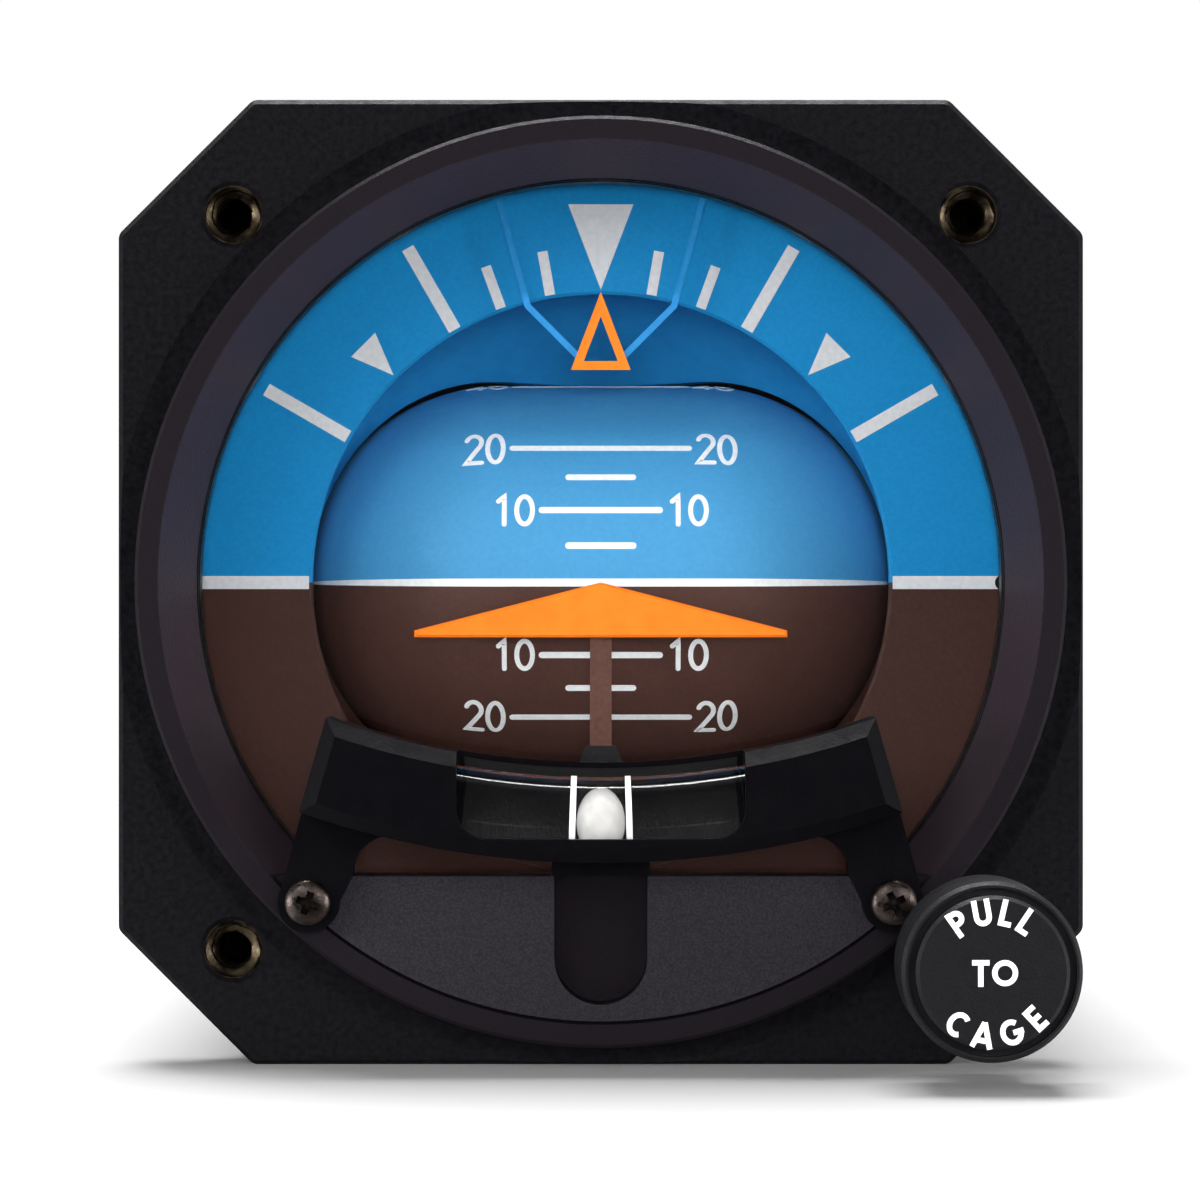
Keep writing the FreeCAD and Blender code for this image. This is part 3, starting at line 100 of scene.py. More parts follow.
def startFinish(name, colour, roughness, metallic=0.0, ior=1.5, gloss=0.5):
    # a material with one shader; returns what the finish functions build on
    material = bpy.data.materials.new(name)
    material.use_nodes = True
    tree = material.node_tree
    tree.nodes.clear()
    place = addNode(tree, "ShaderNodeTexCoord").outputs["Object"]
    values = {"Base Color": hexColour(colour), "Roughness": roughness, "Metallic": metallic,
              "Specular IOR Level": gloss}
    if metallic < 0.5:
        values["IOR"] = ior
    shader = addNode(tree, "ShaderNodeBsdfPrincipled", values)
    addNode(tree, "ShaderNodeOutputMaterial", links={"Surface": shader.outputs[0]})
    material.diffuse_color = hexColour(colour)
    return material, tree, shader, place


def replaceSurface(tree, source):
    # puts a mix of shaders in the place of the single one
    output = next(node for node in tree.nodes if node.type == "OUTPUT_MATERIAL")
    tree.links.new(source, output.inputs["Surface"])


def cloud(tree, place, sizeMm, low=0.0, high=1.0, detail=4.0):
    # soft noise of this feature size, spread between two values; bare noise seldom leaves its middle third
    noiseLow, noiseHigh = 0.35, 0.65
    noise = addNode(tree, "ShaderNodeTexNoise", {"Scale": perMetre(sizeMm), "Detail": detail},
                    {"Vector": place})
    spread = addNode(tree, "ShaderNodeMapRange",
                     {"From Min": noiseLow, "From Max": noiseHigh, "To Min": low, "To Max": high},
                     {"Value": noise.outputs["Fac"]})
    return spread.outputs[0]


def mottle(tree, place, colourA, colourB, sizeMm, detail=5.0):
    # two close colours in soft patches of this size
    mix = addNode(tree, "ShaderNodeMix", {6: hexColour(colourA), 7: hexColour(colourB)},
                  {0: cloud(tree, place, sizeMm, detail=detail)}, data_type="RGBA")
    return mix.outputs[2]


def addRelief(tree, shader, height, depthMm):
    # height map of this depth on the shader, over any that is there already
    links = {"Height": height}
    if shader.inputs["Normal"].is_linked:
        links["Normal"] = shader.inputs["Normal"].links[0].from_socket
    bump = addNode(tree, "ShaderNodeBump", {"Distance": depthMm * mm}, links)
    tree.links.new(bump.outputs[0], shader.inputs["Normal"])


def surface(tree, shader, place, colour, roughMm, roughness, grainMm, depthMm):
    # a colour, with patches of two roughnesses and a fine grain of this depth
    tree.links.new(colour, shader.inputs["Base Color"])
    tree.links.new(cloud(tree, place, roughMm, *roughness), shader.inputs["Roughness"])
    addRelief(tree, shader, cloud(tree, place, grainMm, detail=2.0), depthMm)


def radiusFromAxis(tree, place):
    # distance from the instrument's axis, in metres
    parts = addNode(tree, "ShaderNodeSeparateXYZ", links={0: place})
    flat = addNode(tree, "ShaderNodeCombineXYZ", links={0: parts.outputs[0], 1: parts.outputs[2]})
    return addNode(tree, "ShaderNodeVectorMath", links={0: flat.outputs[0]}, operation="LENGTH").outputs[1]


bezelLook = {
    "coneR": 37.6,  # the turned cone reaches this far out
    "ringR": 39.67,  # and the raised ring this far
    "landTop": -24.9,  # the land with the recess lies under this height
    "border": 0.05,  # half the width over which two finishes meet
    "blasted": ("#060508", "#0f0e12"),
    "ring": "#151116",
    "turned": "#2b2229",
    "gritMm": 0.16,  # blasting grit, drawn a little coarse so that it shows
    "gritDepth": 0.012,
    "hatchMm": 0.35,
    "hatchDepth": 0.04,
}


def blackAnodised(look):
    # aluminium, bead blasted and then anodised black: near black and satin, hatched on the ring,
    # smoother and with a violet cast on the turned cone inside it
    material, tree, shader, place = startFinish("anodisedAluminium", "#0c0b0e", 0.5, gloss=0.1)
    radius = radiusFromAxis(tree, place)
    within = [addNode(tree, "ShaderNodeMapRange",
                      {"From Min": (look[edge] - look["border"]) * mm,
                       "From Max": (look[edge] + look["border"]) * mm, "To Min": 1.0, "To Max": 0.0},
                      {"Value": radius}).outputs[0] for edge in ("coneR", "ringR")]
    insideCone, insideRing = within
    height = addNode(tree, "ShaderNodeSeparateXYZ", links={0: place}).outputs[2]
    overLand = addNode(tree, "ShaderNodeMath", {1: look["landTop"] * mm}, {0: height},
                       operation="GREATER_THAN").outputs[0]
    onCone = addNode(tree, "ShaderNodeMath", links={0: insideCone, 1: overLand},
                     operation="MULTIPLY").outputs[0]
    blasted = mottle(tree, place, *look["blasted"], sizeMm=0.5, detail=6.0)
    ringed = addNode(tree, "ShaderNodeMix", {7: hexColour(look["ring"])}, {0: insideRing, 6: blasted},
                     data_type="RGBA")
    turned = addNode(tree, "ShaderNodeMix", {7: hexColour(look["turned"])}, {0: onCone, 6: ringed.outputs[2]},
                     data_type="RGBA")
    tree.links.new(turned.outputs[2], shader.inputs["Base Color"])
    smoother = addNode(tree, "ShaderNodeMix", {3: 0.42}, {0: onCone, 2: cloud(tree, place, 0.9, 0.46, 0.6)},
                       data_type="FLOAT")
    tree.links.new(smoother.outputs[0], shader.inputs["Roughness"])
    addRelief(tree, shader, cloud(tree, place, look["gritMm"], detail=2.0), look["gritDepth"])
    hatch = addNode(tree, "ShaderNodeTexNoise",
                    {"Scale": perMetre(look["hatchMm"]), "Detail": 3.0, "Distortion": 1.5}, {"Vector": place})
    hatchOnRing = addNode(tree, "ShaderNodeMath", links={0: hatch.outputs["Fac"], 1: insideRing},
                          operation="MULTIPLY")
    addRelief(tree, shader, hatchOnRing.outputs[0], look["hatchDepth"])
    return material


def satinPaint(name, colour, darker, roughness, grainMm=0.25, depthMm=0.006, gloss=0.35):
    # sprayed satin enamel: even colour, faint orange peel
    material, tree, shader, place = startFinish(name, colour, roughness, gloss=gloss)
    surface(tree, shader, place, mottle(tree, place, colour, darker, sizeMm=1.6), roughMm=0.8,
            roughness=(roughness - 0.05, roughness + 0.05), grainMm=grainMm, depthMm=depthMm)
    return material


def splitByHeight(tree, place, heightMm, below, above):
    # one colour under this height and another over it, with a sharp border
    border = 0.02
    height = addNode(tree, "ShaderNodeSeparateXYZ", links={0: place}).outputs[2]
    over = addNode(tree, "ShaderNodeMapRange",
                   {"From Min": (heightMm - border) * mm, "From Max": (heightMm + border) * mm},
                   {"Value": height}).outputs[0]
    return addNode(tree, "ShaderNodeMix", links={0: over, 6: below, 7: above}, data_type="RGBA").outputs[2]


def skyAndGround(name, skyColours, groundColours, gloss):
    # matt dial enamel, screened in two flat halves that meet on the horizon
    material, tree, shader, place = startFinish(name, skyColours[0], 0.55, gloss=gloss)
    colour = splitByHeight(tree, place, 0.0, mottle(tree, place, *groundColours, sizeMm=0.35, detail=6.0),
                           mottle(tree, place, *skyColours, sizeMm=0.35, detail=6.0))
    surface(tree, shader, place, colour, roughMm=1.2, roughness=(0.48, 0.6), grainMm=0.12, depthMm=0.004)
    return material


def postEnamel():
    # matt enamel on the aircraft symbol's post: brown, so that it sinks into the ground, with a black foot
    footTop = -14.3
    material, tree, shader, place = startFinish("postEnamel", "#54372f", 0.55, gloss=0.3)
    colour = splitByHeight(tree, place, footTop, mottle(tree, place, "#19171a", "#131114", sizeMm=0.4),
                           mottle(tree, place, "#5a3b32", "#4f342c", sizeMm=0.4))
    surface(tree, shader, place, colour, roughMm=0.8, roughness=(0.5, 0.6), grainMm=0.2, depthMm=0.004)
    return material


def armEnamel():
    # the pointer's arms: light blue inside the dial's opening, the dial's own blue across the dial
    openingR, border = 26.0, 0.4
    material, tree, shader, place = startFinish("armEnamel", "#3a94d1", 0.5, gloss=0.3)
    across = addNode(tree, "ShaderNodeMapRange",
                     {"From Min": (openingR - border) * mm, "From Max": (openingR + border) * mm},
                     {"Value": radiusFromAxis(tree, place)}).outputs[0]
    colour = addNode(tree, "ShaderNodeMix",
                     links={0: across, 6: mottle(tree, place, "#2c8aca", "#2682c4", sizeMm=0.4),
                            7: mottle(tree, place, "#1678b4", "#1271aa", sizeMm=0.4)}, data_type="RGBA")
    surface(tree, shader, place, colour.outputs[2], roughMm=0.8, roughness=(0.45, 0.55), grainMm=0.2,
            depthMm=0.004)
    return material


def glazedBall():
    # glazed ceramic ball: clean white and smooth, with a small soft highlight
    material, tree, shader, place = startFinish("glazedCeramic", "#eeedea", 0.2)
    colour = mottle(tree, place, "#dcdbd8", "#d0cfcc", sizeMm=1.0, detail=3.0)
    tree.links.new(colour, shader.inputs["Base Color"])
    tree.links.new(cloud(tree, place, 0.8, 0.16, 0.24), shader.inputs["Roughness"])
    return material


def clearGlass(name, colour, ior, roughness, gloss=0.5):
    # polished glass: hardly seen but for its reflections; rays to the lamps pass straight through it
    material, tree, shader, _ = startFinish(name, colour, roughness, ior=ior, gloss=gloss)
    shader.inputs["Transmission Weight"].default_value = 1.0
    toLamp = addNode(tree, "ShaderNodeLightPath").outputs["Is Shadow Ray"]
    clear = addNode(tree, "ShaderNodeBsdfTransparent", {"Color": hexColour("#fbfcfc")})
    both = addNode(tree, "ShaderNodeMixShader", links={0: toLamp, 1: shader.outputs[0], 2: clear.outputs[0]})
    replaceSurface(tree, both.outputs[0])
    return material


def metal(name, colour, darker, roughness, grainMm=0.4, depthMm=0.003):
    # bare or plated metal: reflections that break up a little in the marks of its working
    material, tree, shader, place = startFinish(name, colour, roughness, metallic=1.0)
    surface(tree, shader, place, mottle(tree, place, colour, darker, sizeMm=1.5), roughMm=grainMm,
            roughness=(roughness - 0.08, roughness + 0.1), grainMm=grainMm / 2, depthMm=depthMm)
    return material


def cracklePaint():
    # wrinkle-finish paint on the land's plate: fine light grains on dark grey
    grainMm, grainDepth = 0.22, 0.02
    material, tree, shader, place = startFinish("wrinklePaint", "#2a282d", 0.6, gloss=0.3)
    grains = addNode(tree, "ShaderNodeTexVoronoi", {"Scale": perMetre(grainMm), "Randomness": 1.0},
                     {"Vector": place})
    height = addNode(tree, "ShaderNodeMapRange",
                     {"From Min": 0.0, "From Max": 0.7, "To Min": 1.0, "To Max": 0.0},
                     {"Value": grains.outputs["Distance"]}).outputs[0]
    colour = addNode(tree, "ShaderNodeMix", {6: hexColour("#17151a"), 7: hexColour("#29262c")}, {0: height},
                     data_type="RGBA")
    tree.links.new(colour.outputs[2], shader.inputs["Base Color"])
    tree.links.new(cloud(tree, place, 0.8, 0.5, 0.7), shader.inputs["Roughness"])
    addRelief(tree, shader, height, grainDepth)
    return material


def mouldedPlastic(name, colour, darker, roughness, grainMm=0.22, depthMm=0.01):
    # moulded, with a fine sparked texture from its tool that dulls the highlights
    material, tree, shader, place = startFinish(name, colour, roughness, ior=1.49, gloss=0.3)
    surface(tree, shader, place, mottle(tree, place, colour, darker, sizeMm=0.6, detail=6.0), roughMm=0.5,
            roughness=(roughness - 0.06, roughness + 0.08), grainMm=grainMm, depthMm=depthMm)
    return material


def printedWhite(name, colour, darker, roughness=0.5):
    # white marking ink, slightly uneven where it was screened on
    material, tree, shader, place = startFinish(name, colour, roughness)
    surface(tree, shader, place, mottle(tree, place, colour, darker, sizeMm=0.5), roughMm=0.4,
            roughness=(roughness - 0.05, roughness + 0.08), grainMm=0.2, depthMm=0.001)
    return material


def laminate():
    # glass-epoxy board under green solder resist, with the weave just showing
    weaveMm, weaveDepth = 3.0, 0.01
    material, tree, shader, place = startFinish("epoxyLaminate", "#1d4a2c", 0.42)
    across, along = [addNode(tree, "ShaderNodeTexWave", {"Scale": perMetre(weaveMm), "Distortion": 0.6},
                             {"Vector": place}, bands_direction=way).outputs["Fac"] for way in ("X", "Z")]
    cloth = addNode(tree, "ShaderNodeMath", links={0: across, 1: along}, operation="MULTIPLY").outputs[0]
    colour = addNode(tree, "ShaderNodeMix", {6: hexColour("#173d24"), 7: hexColour("#235735")}, {0: cloth},
                     data_type="RGBA")
    tree.links.new(colour.outputs[2], shader.inputs["Base Color"])
    addRelief(tree, shader, cloth, weaveDepth)
    return material


print("materials")
finishes["black_anodised"] = blackAnodised(bezelLook)
# charcoal spray enamel: one broad soft highlight along the case, a little lighter on its cover
finishes["case_paint"] = satinPaint("caseEnamel", "#26262a", "#1f1f23", 0.45)
finishes["cover_paint"] = satinPaint("coverEnamel", "#2c2c30", "#242428", 0.45)
# near-black enamel with hardly a sheen: the bracket stays a dark shape in front of the dial
finishes["bracket_paint"] = satinPaint("bracketEnamel", "#060508", "#040306", 0.42, 0.3, 0.01, 0.08)
# day-bright orange that stays strong in the bezel's shade
finishes["orange_paint"] = satinPaint("fluorescentOrange", "#ff7f18", "#ff7710", 0.5)
# the masks behind the dial: painted light, coloured a step lighter than the dial to make up for the shadow
# that they lie in
finishes["sky_paint"] = satinPaint("skyEnamel", "#2590cb", "#1f8ac5", 0.55)
finishes["ground_paint"] = satinPaint("groundEnamel", "#4a2f28", "#432a23", 0.55)
finishes["plate_crackle"] = cracklePaint()
finishes["brown_paint"] = postEnamel()
finishes["blue_strip_paint"] = armEnamel()
finishes["dial_paint"] = skyAndGround("dialEnamel", ("#0c7ab2", "#0873aa"), ("#3c241e", "#35201b"), 0.2)
# painted light: the drum gets a lighter copy of the dial's two enamels, standing in for the broad sheen that
# the front light lays along it
drumEnamelPaintedSheen = skyAndGround("drumEnamelPaintedSheen", ("#4797c9", "#4191c4"), ("#4f332c", "#492f29"), 0.35)
finishes["ball_ceramic"] = glazedBall()
finishes["clear_glass"] = clearGlass("floatGlass", "#fdfefe", 1.5, 0.0)
# full of damping fluid, so it bends light as one clear rod
finishes["tube_glass"] = clearGlass("fluidFilledGlass", "#f3f2f3", 1.42, 0.02, 0.08)
# turned brass gone brown: dull gold on the crests of the thread, dark between them
finishes["brass_insert"] = metal("oxidisedBrass", "#5c5140", "#221c17", 0.36, 0.5, 0.004)
finishes["black_steel"] = metal("blackenedSteel", "#3a3735", "#262423", 0.42)
# phosphate coating: a dark warm grey with a weak glint on the dome
finishes["screw_steel"] = metal("phosphatedSteel", "#5d5450", "#37302d", 0.34, 0.3, 0.006)
# sand-cast and left bare: pale, slightly pebbled
finishes["bare_aluminium"] = metal("castAluminium", "#b9babd", "#a3a4a8", 0.42, 0.5, 0.01)
finishes["bright_steel"] = metal("groundSteel", "#c2c0bd", "#a9a7a4", 0.28)
finishes["gear_brass"] = metal("hobbedBrass", "#c9a45c", "#b18c48", 0.32)
finishes["gold_pin"] = metal("goldPlate", "#d8b05a", "#c99f49", 0.25)
# the connector's plating: a drab green metal without a clear reflection
finishes["socket_plating"] = metal("oliveCadmium", "#6f6f52", "#5c5c43", 0.45, 0.4, 0.006)
finishes["seal_rubber"] = mouldedPlastic("nitrileRubber", "#141416", "#1c1c1e", 0.7)
finishes["black_plastic"] = mouldedPlastic("blackAcetal", "#080709", "#0b0a0c", 0.5)
finishes["knob_plastic"] = mouldedPlastic("phenolicKnob", "#121014", "#0e0d10", 0.5)
finishes["component_black"] = mouldedPlastic("epoxyPackage", "#18181a", "#1f1f22", 0.5)
finishes["insert_rubber"] = mouldedPlastic("siliconeInsert", "#1d1f22", "#17191b", 0.6)
finishes["circuit_laminate"] = laminate()
dialInk = printedWhite("dialInk", "#c6c7ca", "#bcbdc1")
drumInk = printedWhite("drumInk", "#f4f6f8", "#e8eaed")
knobInk = printedWhite("engravedInk", "#fbfbfb", "#f0f0f1")

for part in frame["record"]["subparts"]:
    finish = drumEnamelPaintedSheen if part["node"] == "pitch_drum" else finishes[part["material_slot"]]
    node = nodes[part["node"]]
    node.data.materials.clear()
    node.data.materials.append(finish)


def skin(bm, rings):
    # joins a row of rings of corners into a solid with closed ends
    for near, far in zip(rings, rings[1:]):
        for i in range(len(near)):
            j = (i + 1) % len(near)
            bm.faces.new((near[i], near[j], far[j], far[i]))
    bm.faces.new(rings[0])
    bm.faces.new(list(reversed(rings[-1])))


def strokeSteps(points, width, step, roundEnds):
    # rows of (centre, sideways vector, half width) along a stroke, cut into short steps
    tooShort = 1e-6
    endSteps = 5  # corners round each half of a round end
    path = [Vector(points[0])]
    for end in points[1:]:
        start, end = path[-1].copy(), Vector(end)
        if (end - start).length < tooShort:
            continue
        count = max(1, math.ceil((end - start).length / step))
        path += [start.lerp(end, i / count) for i in range(1, count + 1)]
    closed = (path[0] - path[-1]).length < tooShort
    rows = []
    for i, point in enumerate(path):
        if i:
            before = path[i] - path[i - 1]
        else:
            before = path[-1] - path[-2] if closed else path[1] - path[0]
        if i + 1 < len(path):
            after = path[i + 1] - path[i]
        else:
            after = path[1] - path[0] if closed else before
        before, after = before.normalized(), after.normalized()
        along = (before + after).normalized()
        half = width / 2 / max(0.5, along.dot(after))  # wider at a bend, but never twice as wide
        rows.append((point, Vector((-along.y, along.x)), half))
    if roundEnds and not closed:
        turns = [math.pi / 2 * k / endSteps for k in range(endSteps, 0, -1)]
        first, last = rows[0], rows[-1]
        back = Vector((first[1].y, -first[1].x))
        head = [(first[0] - back * width / 2 * math.sin(a), first[1], width / 2 * math.cos(a)) for a in turns]
        front = Vector((last[1].y, -last[1].x))
        tail = [(last[0] + front * width / 2 * math.sin(a), last[1], width / 2 * math.cos(a))
                for a in reversed(turns)]
        rows = head + rows + tail
    return rows


def addStroke(bm, points, width, onSurface, lift, step=0.4, roundEnds=False):
    # a raised ribbon along the points, laid on a surface by onSurface(u, v, lift)
    rings = []
    for centre, side, half in strokeSteps(points, width, step, roundEnds):
        left, right = centre + side * half, centre - side * half
        corners = [(left, -sunk), (left, lift), (right, lift), (right, -sunk)]
        rings.append([bm.verts.new(onSurface(p.x, p.y, up)) for p, up in corners])
    skin(bm, rings)


def addFill(bm, outline, onSurface, lift):
    # a raised flat patch with this outline
    skin(bm, [[bm.verts.new(onSurface(u, v, up)) for u, v in outline] for up in (-sunk, lift)])


def arcPoints(centreU, centreV, radius, startDeg, endDeg, count=14, squash=1.0):
    angles = [math.radians(startDeg + (endDeg - startDeg) * i / count) for i in range(count + 1)]
    return [(centreU + radius * squash * math.cos(a), centreV + radius * math.sin(a)) for a in angles]


def finishPiece(bm, name, body, material):
    # turns the mesh under construction into a piece that rides on a body
    sameSpot, sharpDegrees = 1e-7, 35
    bmesh.ops.remove_doubles(bm, verts=bm.verts, dist=sameSpot)
    bmesh.ops.recalc_face_normals(bm, faces=bm.faces)
    mesh = bpy.data.meshes.new(name)
    bm.to_mesh(mesh)
    bm.free()
    mesh.materials.append(material)
    piece = bpy.data.objects.new(name, mesh)
    bpy.context.scene.collection.objects.link(piece)
    mesh.shade_smooth()
    piece.modifiers.new("edges", "EDGE_SPLIT").split_angle = math.radians(sharpDegrees)
    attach(piece, body)
    return piece


# strokes of each character, in shares of its height, with its middle at 0 across and its foot at 0 up
glyphs = {
    "0": [arcPoints(0, 0.5, 0.5, 90, 450, 24, 0.54)],
    "1": [[(-0.16, 0.82), (0.04, 1.0), (0.04, 0.0)]],
    "2": [arcPoints(-0.01, 0.74, 0.26, 160, -38, 12) + [(-0.27, 0.0), (0.27, 0.0)]],
    "4": [[(0.12, 0.0), (0.12, 1.0), (-0.27, 0.28), (0.28, 0.28)]],
    "6": [arcPoints(0, 0.28, 0.28, 90, 450, 16, 0.95), [(-0.25, 0.38), (0.14, 1.0)]],
    "8": [arcPoints(0, 0.76, 0.24, -90, 270, 16), arcPoints(0, 0.26, 0.26, 90, 450, 16)],
    "P": [[(-0.24, -0.16), (-0.24, 1.16)],
          [(-0.24, 1.0)] + arcPoints(0.02, 0.73, 0.27, 90, -90, 10) + [(-0.24, 0.46)]],
    "U": [[(-0.31, 1.16)] + arcPoints(0, 0.31, 0.31, 180, 360, 12) + [(0.31, 1.16)]],
    "L": [[(-0.2, 1.16), (-0.2, 0.0), (0.3, 0.0)]],
    "T": [[(-0.42, 1.0), (0.42, 1.0)], [(0.0, 1.0), (0.0, -0.16)]],
    "O": [arcPoints(0, 0.5, 0.5, 90, 450, 28)],
    "C": [arcPoints(0.06, 0.5, 0.5, 52, 308, 20, 0.84)],
    "A": [[(-0.44, -0.16), (0.0, 1.08)], [(0.0, 1.08), (0.44, -0.16)], [(-0.3, 0.2), (0.3, 0.2)]],
    "G": [arcPoints(0, 0.5, 0.5, 48, 355, 22, 0.88), [(0.58, 0.46), (0.06, 0.46)]],
    "E": [[(0.34, 1.0), (-0.2, 1.0), (-0.2, 0.0), (0.34, 0.0)], [(-0.2, 0.5), (0.28, 0.5)]],
}


def addGlyph(bm, letter, centre, height, stroke, onSurface, lift, turnDeg=0.0, em=None, roundEnds=False):
    # one character: height is between the middles of its top and bottom strokes, em sets its width
    step = 0.3
    over = 0.006  # each stroke lies this much over the one before, so that no two faces coincide
    turn = math.radians(turnDeg)
    for order, line in enumerate(glyphs[letter]):
        points = []
        for u, v in line:
            u, v = u * (em or height), (v - 0.5) * height
            points.append((centre[0] + u * math.cos(turn) - v * math.sin(turn),
                           centre[1] + u * math.sin(turn) + v * math.cos(turn)))
        addStroke(bm, points, stroke, onSurface, lift + over * order, step, roundEnds)


dialMarks = {
    "lift": 0.05,
    "innerR": 25.7,
    "shortLines": {"degrees": (10, 20), "outerR": 29.6, "width": 0.9},
    "longLines": {"degrees": (30, 60), "outerR": 34.0, "width": 1.15},
    "horizonEnd": 35.4,
    "horizonWidth": 1.15,
    "notchR": 0.7,
    "notchOver": 0.02,
    "step": 5.0,  # the dial is flat, so strokes take few corners
    "skyTriangle": {"tip": 25.8, "base": 33.3, "half": 2.87},
    "sideTriangle": {"degrees": 45, "tip": 25.8, "base": 29.6, "half": 1.5},
}


def makeDialMarks(look):
    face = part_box("roll_dial")[0].y / mm

    def onDial(u, v, lift):
        return Vector((u, face - lift, v)) * mm

    def radial(degrees, radius, across=0.0):
        a = math.radians(degrees)
        return (radius * math.sin(a) + across * math.cos(a), radius * math.cos(a) - across * math.sin(a))

    bm = bmesh.new()
    for sign in (-1, 1):
        for lines in (look["shortLines"], look["longLines"]):
            for degrees in lines["degrees"]:
                ends = [radial(sign * degrees, radius) for radius in (look["innerR"], lines["outerR"])]
                addStroke(bm, ends, lines["width"], onDial, look["lift"], look["step"])
        horizon = [(sign * look["innerR"], 0), (sign * look["horizonEnd"], 0)]
        addStroke(bm, horizon, look["horizonWidth"], onDial, look["lift"], look["step"])
    side = look["sideTriangle"]
    for degrees, shape in ((0, look["skyTriangle"]), (-side["degrees"], side), (side["degrees"], side)):
        addFill(bm, [radial(degrees, shape["tip"]), radial(degrees, shape["base"], shape["half"]),
                     radial(degrees, shape["base"], -shape["half"])], onDial, look["lift"])
    finishPiece(bm, "dialMarks", "roll_gimbal", dialInk)
    bm = bmesh.new()  # a black half-round at the right end of the horizon line
    addFill(bm, arcPoints(look["horizonEnd"], 0, look["notchR"], 90, 270, 12), onDial,
            look["lift"] + look["notchOver"])
    finishPiece(bm, "dialNotch", "roll_gimbal", finishes["black_plastic"])


drumMarks = {
    "lift": 0.05,
    "degreesPerPitch": 2.07,
    "lineWidth": 0.58,
    "horizonWidth": 0.7,
    "horizonHalf": 26.6,
    "halfLengths": {5: 2.85, 10: 5.2, 15: 2.85, 20: 7.85, 40: 7.85, 60: 7.85, 80: 5.2},
    "numeralHeights": {10: 2.62, 20: 3.3, 40: 3.0, 60: 3.0, 80: 3.0},
    "numeralEm": 2.6,
    "numeralStroke": 0.43,
    "numeralPitch": 1.9,
    "numeralSpace": 0.6,
    "numeralHalf": 0.36,  # of the em
    "horizonStep": 0.5,  # short, since the line runs over the round ends
    "lineStep": 1.0,
}


def makeDrumMarks(look):
    low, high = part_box("pitch_drum")
    axisY = (low.y + high.y) / 2 / mm
    drumR = (high.z - low.z) / 2 / mm
    axleLow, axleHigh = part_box("drum_axle")
    boreR = (axleHigh.z - axleLow.z) / 2 / mm
    straight = (high.x - low.x) / 2 / mm - math.sqrt(drumR ** 2 - boreR ** 2)

    def onDrum(u, v, lift):
        # the drum is round at both ends of its straight part
        leastR = 0.1  # a line that runs past the end stops at its pole
        angle = v / drumR
        beyond = max(0.0, abs(u) - straight)
        radius = math.sqrt(max(drumR ** 2 - beyond ** 2, leastR ** 2)) + lift
        return Vector((u, axisY - radius * math.cos(angle), radius * math.sin(angle))) * mm

    bm = bmesh.new()
    horizon = [(-look["horizonHalf"], 0), (look["horizonHalf"], 0)]
    addStroke(bm, horizon, look["horizonWidth"], onDrum, look["lift"], look["horizonStep"])
    for pitch, half in look["halfLengths"].items():
        first = half + look["numeralSpace"] + look["numeralEm"] * look["numeralHalf"]
        second = first + look["numeralPitch"]
        for sign in (-1, 1):
            v = sign * math.radians(pitch * look["degreesPerPitch"]) * drumR
            addStroke(bm, [(-half, v), (half, v)], look["lineWidth"], onDrum, look["lift"], look["lineStep"],
                      roundEnds=True)
            if pitch not in look["numeralHeights"]:
                continue
            for places in ((-second, -first), (first, second)):
                for digit, u in zip(str(pitch), places):
                    addGlyph(bm, digit, (u, v), look["numeralHeights"][pitch], look["numeralStroke"], onDrum,
                             look["lift"], em=look["numeralEm"], roundEnds=True)
    finishPiece(bm, "drumMarks", "drum", drumInk)


knobLetters = {
    "lift": 0.04,
    "height": 1.66,  # between stroke middles: capitals 2.1 high
    "stroke": 0.43,
    "ringR": 4.88,
    "lowerRingR": 4.98,
    "upper": (("P", -35), ("U", -10.5), ("L", 13), ("L", 34)),
    "lower": (("C", -35), ("A", -9.5), ("G", 17.5), ("E", 43)),
    "middle": (("T", -1.0), ("O", 0.95)),
}


def makeKnobLetters(look):
    low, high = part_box("cage_knob")
    centreX, centreZ = (low.x + high.x) / 2 / mm, (low.z + high.z) / 2 / mm
    face = low.y / mm

    def onKnob(u, v, lift):
        return Vector((centreX + u, face - lift, centreZ + v)) * mm

    bm = bmesh.new()
    for word, radius, up in (("upper", look["ringR"], 1), ("lower", look["lowerRingR"], -1)):
        for letter, degrees in look[word]:
            a = math.radians(degrees)
            centre = (radius * math.sin(a), up * radius * math.cos(a))
            addGlyph(bm, letter, centre, look["height"], look["stroke"], onKnob, look["lift"], -up * degrees)
    for letter, u in look["middle"]:
        addGlyph(bm, letter, (u, 0.0), look["height"], look["stroke"], onKnob, look["lift"])
    finishPiece(bm, "knobLetters", "cage_control", knobInk)


print("marks")
makeDialMarks(dialMarks)
makeDrumMarks(drumMarks)
makeKnobLetters(knobLetters)


slipTube = {
    "centreZ": 53.7,
    "pathR": 73.2,
    "tubeR": 3.1,
    "halfDegrees": 14.5,
    "steps": 58,
    "sides": 48,
    "indexX": 2.35,
    "indexWidth": 0.5,
    "indexLift": 0.06,
    "indexSteps": 24,
}
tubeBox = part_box("inclinometer_tube")


def tubePoint(look, degrees, radius, around):
    # a point on a bent rod: degrees from straight down, and around its own section
    axisY = (tubeBox[0].y + tubeBox[1].y) / 2 / mm
    a = math.radians(degrees)
    out = look["pathR"] + radius * math.cos(around)
    y, z = axisY + radius * math.sin(around), look["centreZ"] - out * math.cos(a)
    return Vector((out * math.sin(a), y, z)) * mm


def makeTube(look):
    bm = bmesh.new()
    rings = []
    for i in range(look["steps"] + 1):
        degrees = -look["halfDegrees"] + 2 * look["halfDegrees"] * i / look["steps"]
        rings.append([bm.verts.new(tubePoint(look, degrees, look["tubeR"], 2 * math.pi * k / look["sides"]))
                      for k in range(look["sides"])])
    skin(bm, rings)
    piece = finishPiece(bm, "slipTube", "case", finishes["tube_glass"])
    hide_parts("inclinometer_tube")


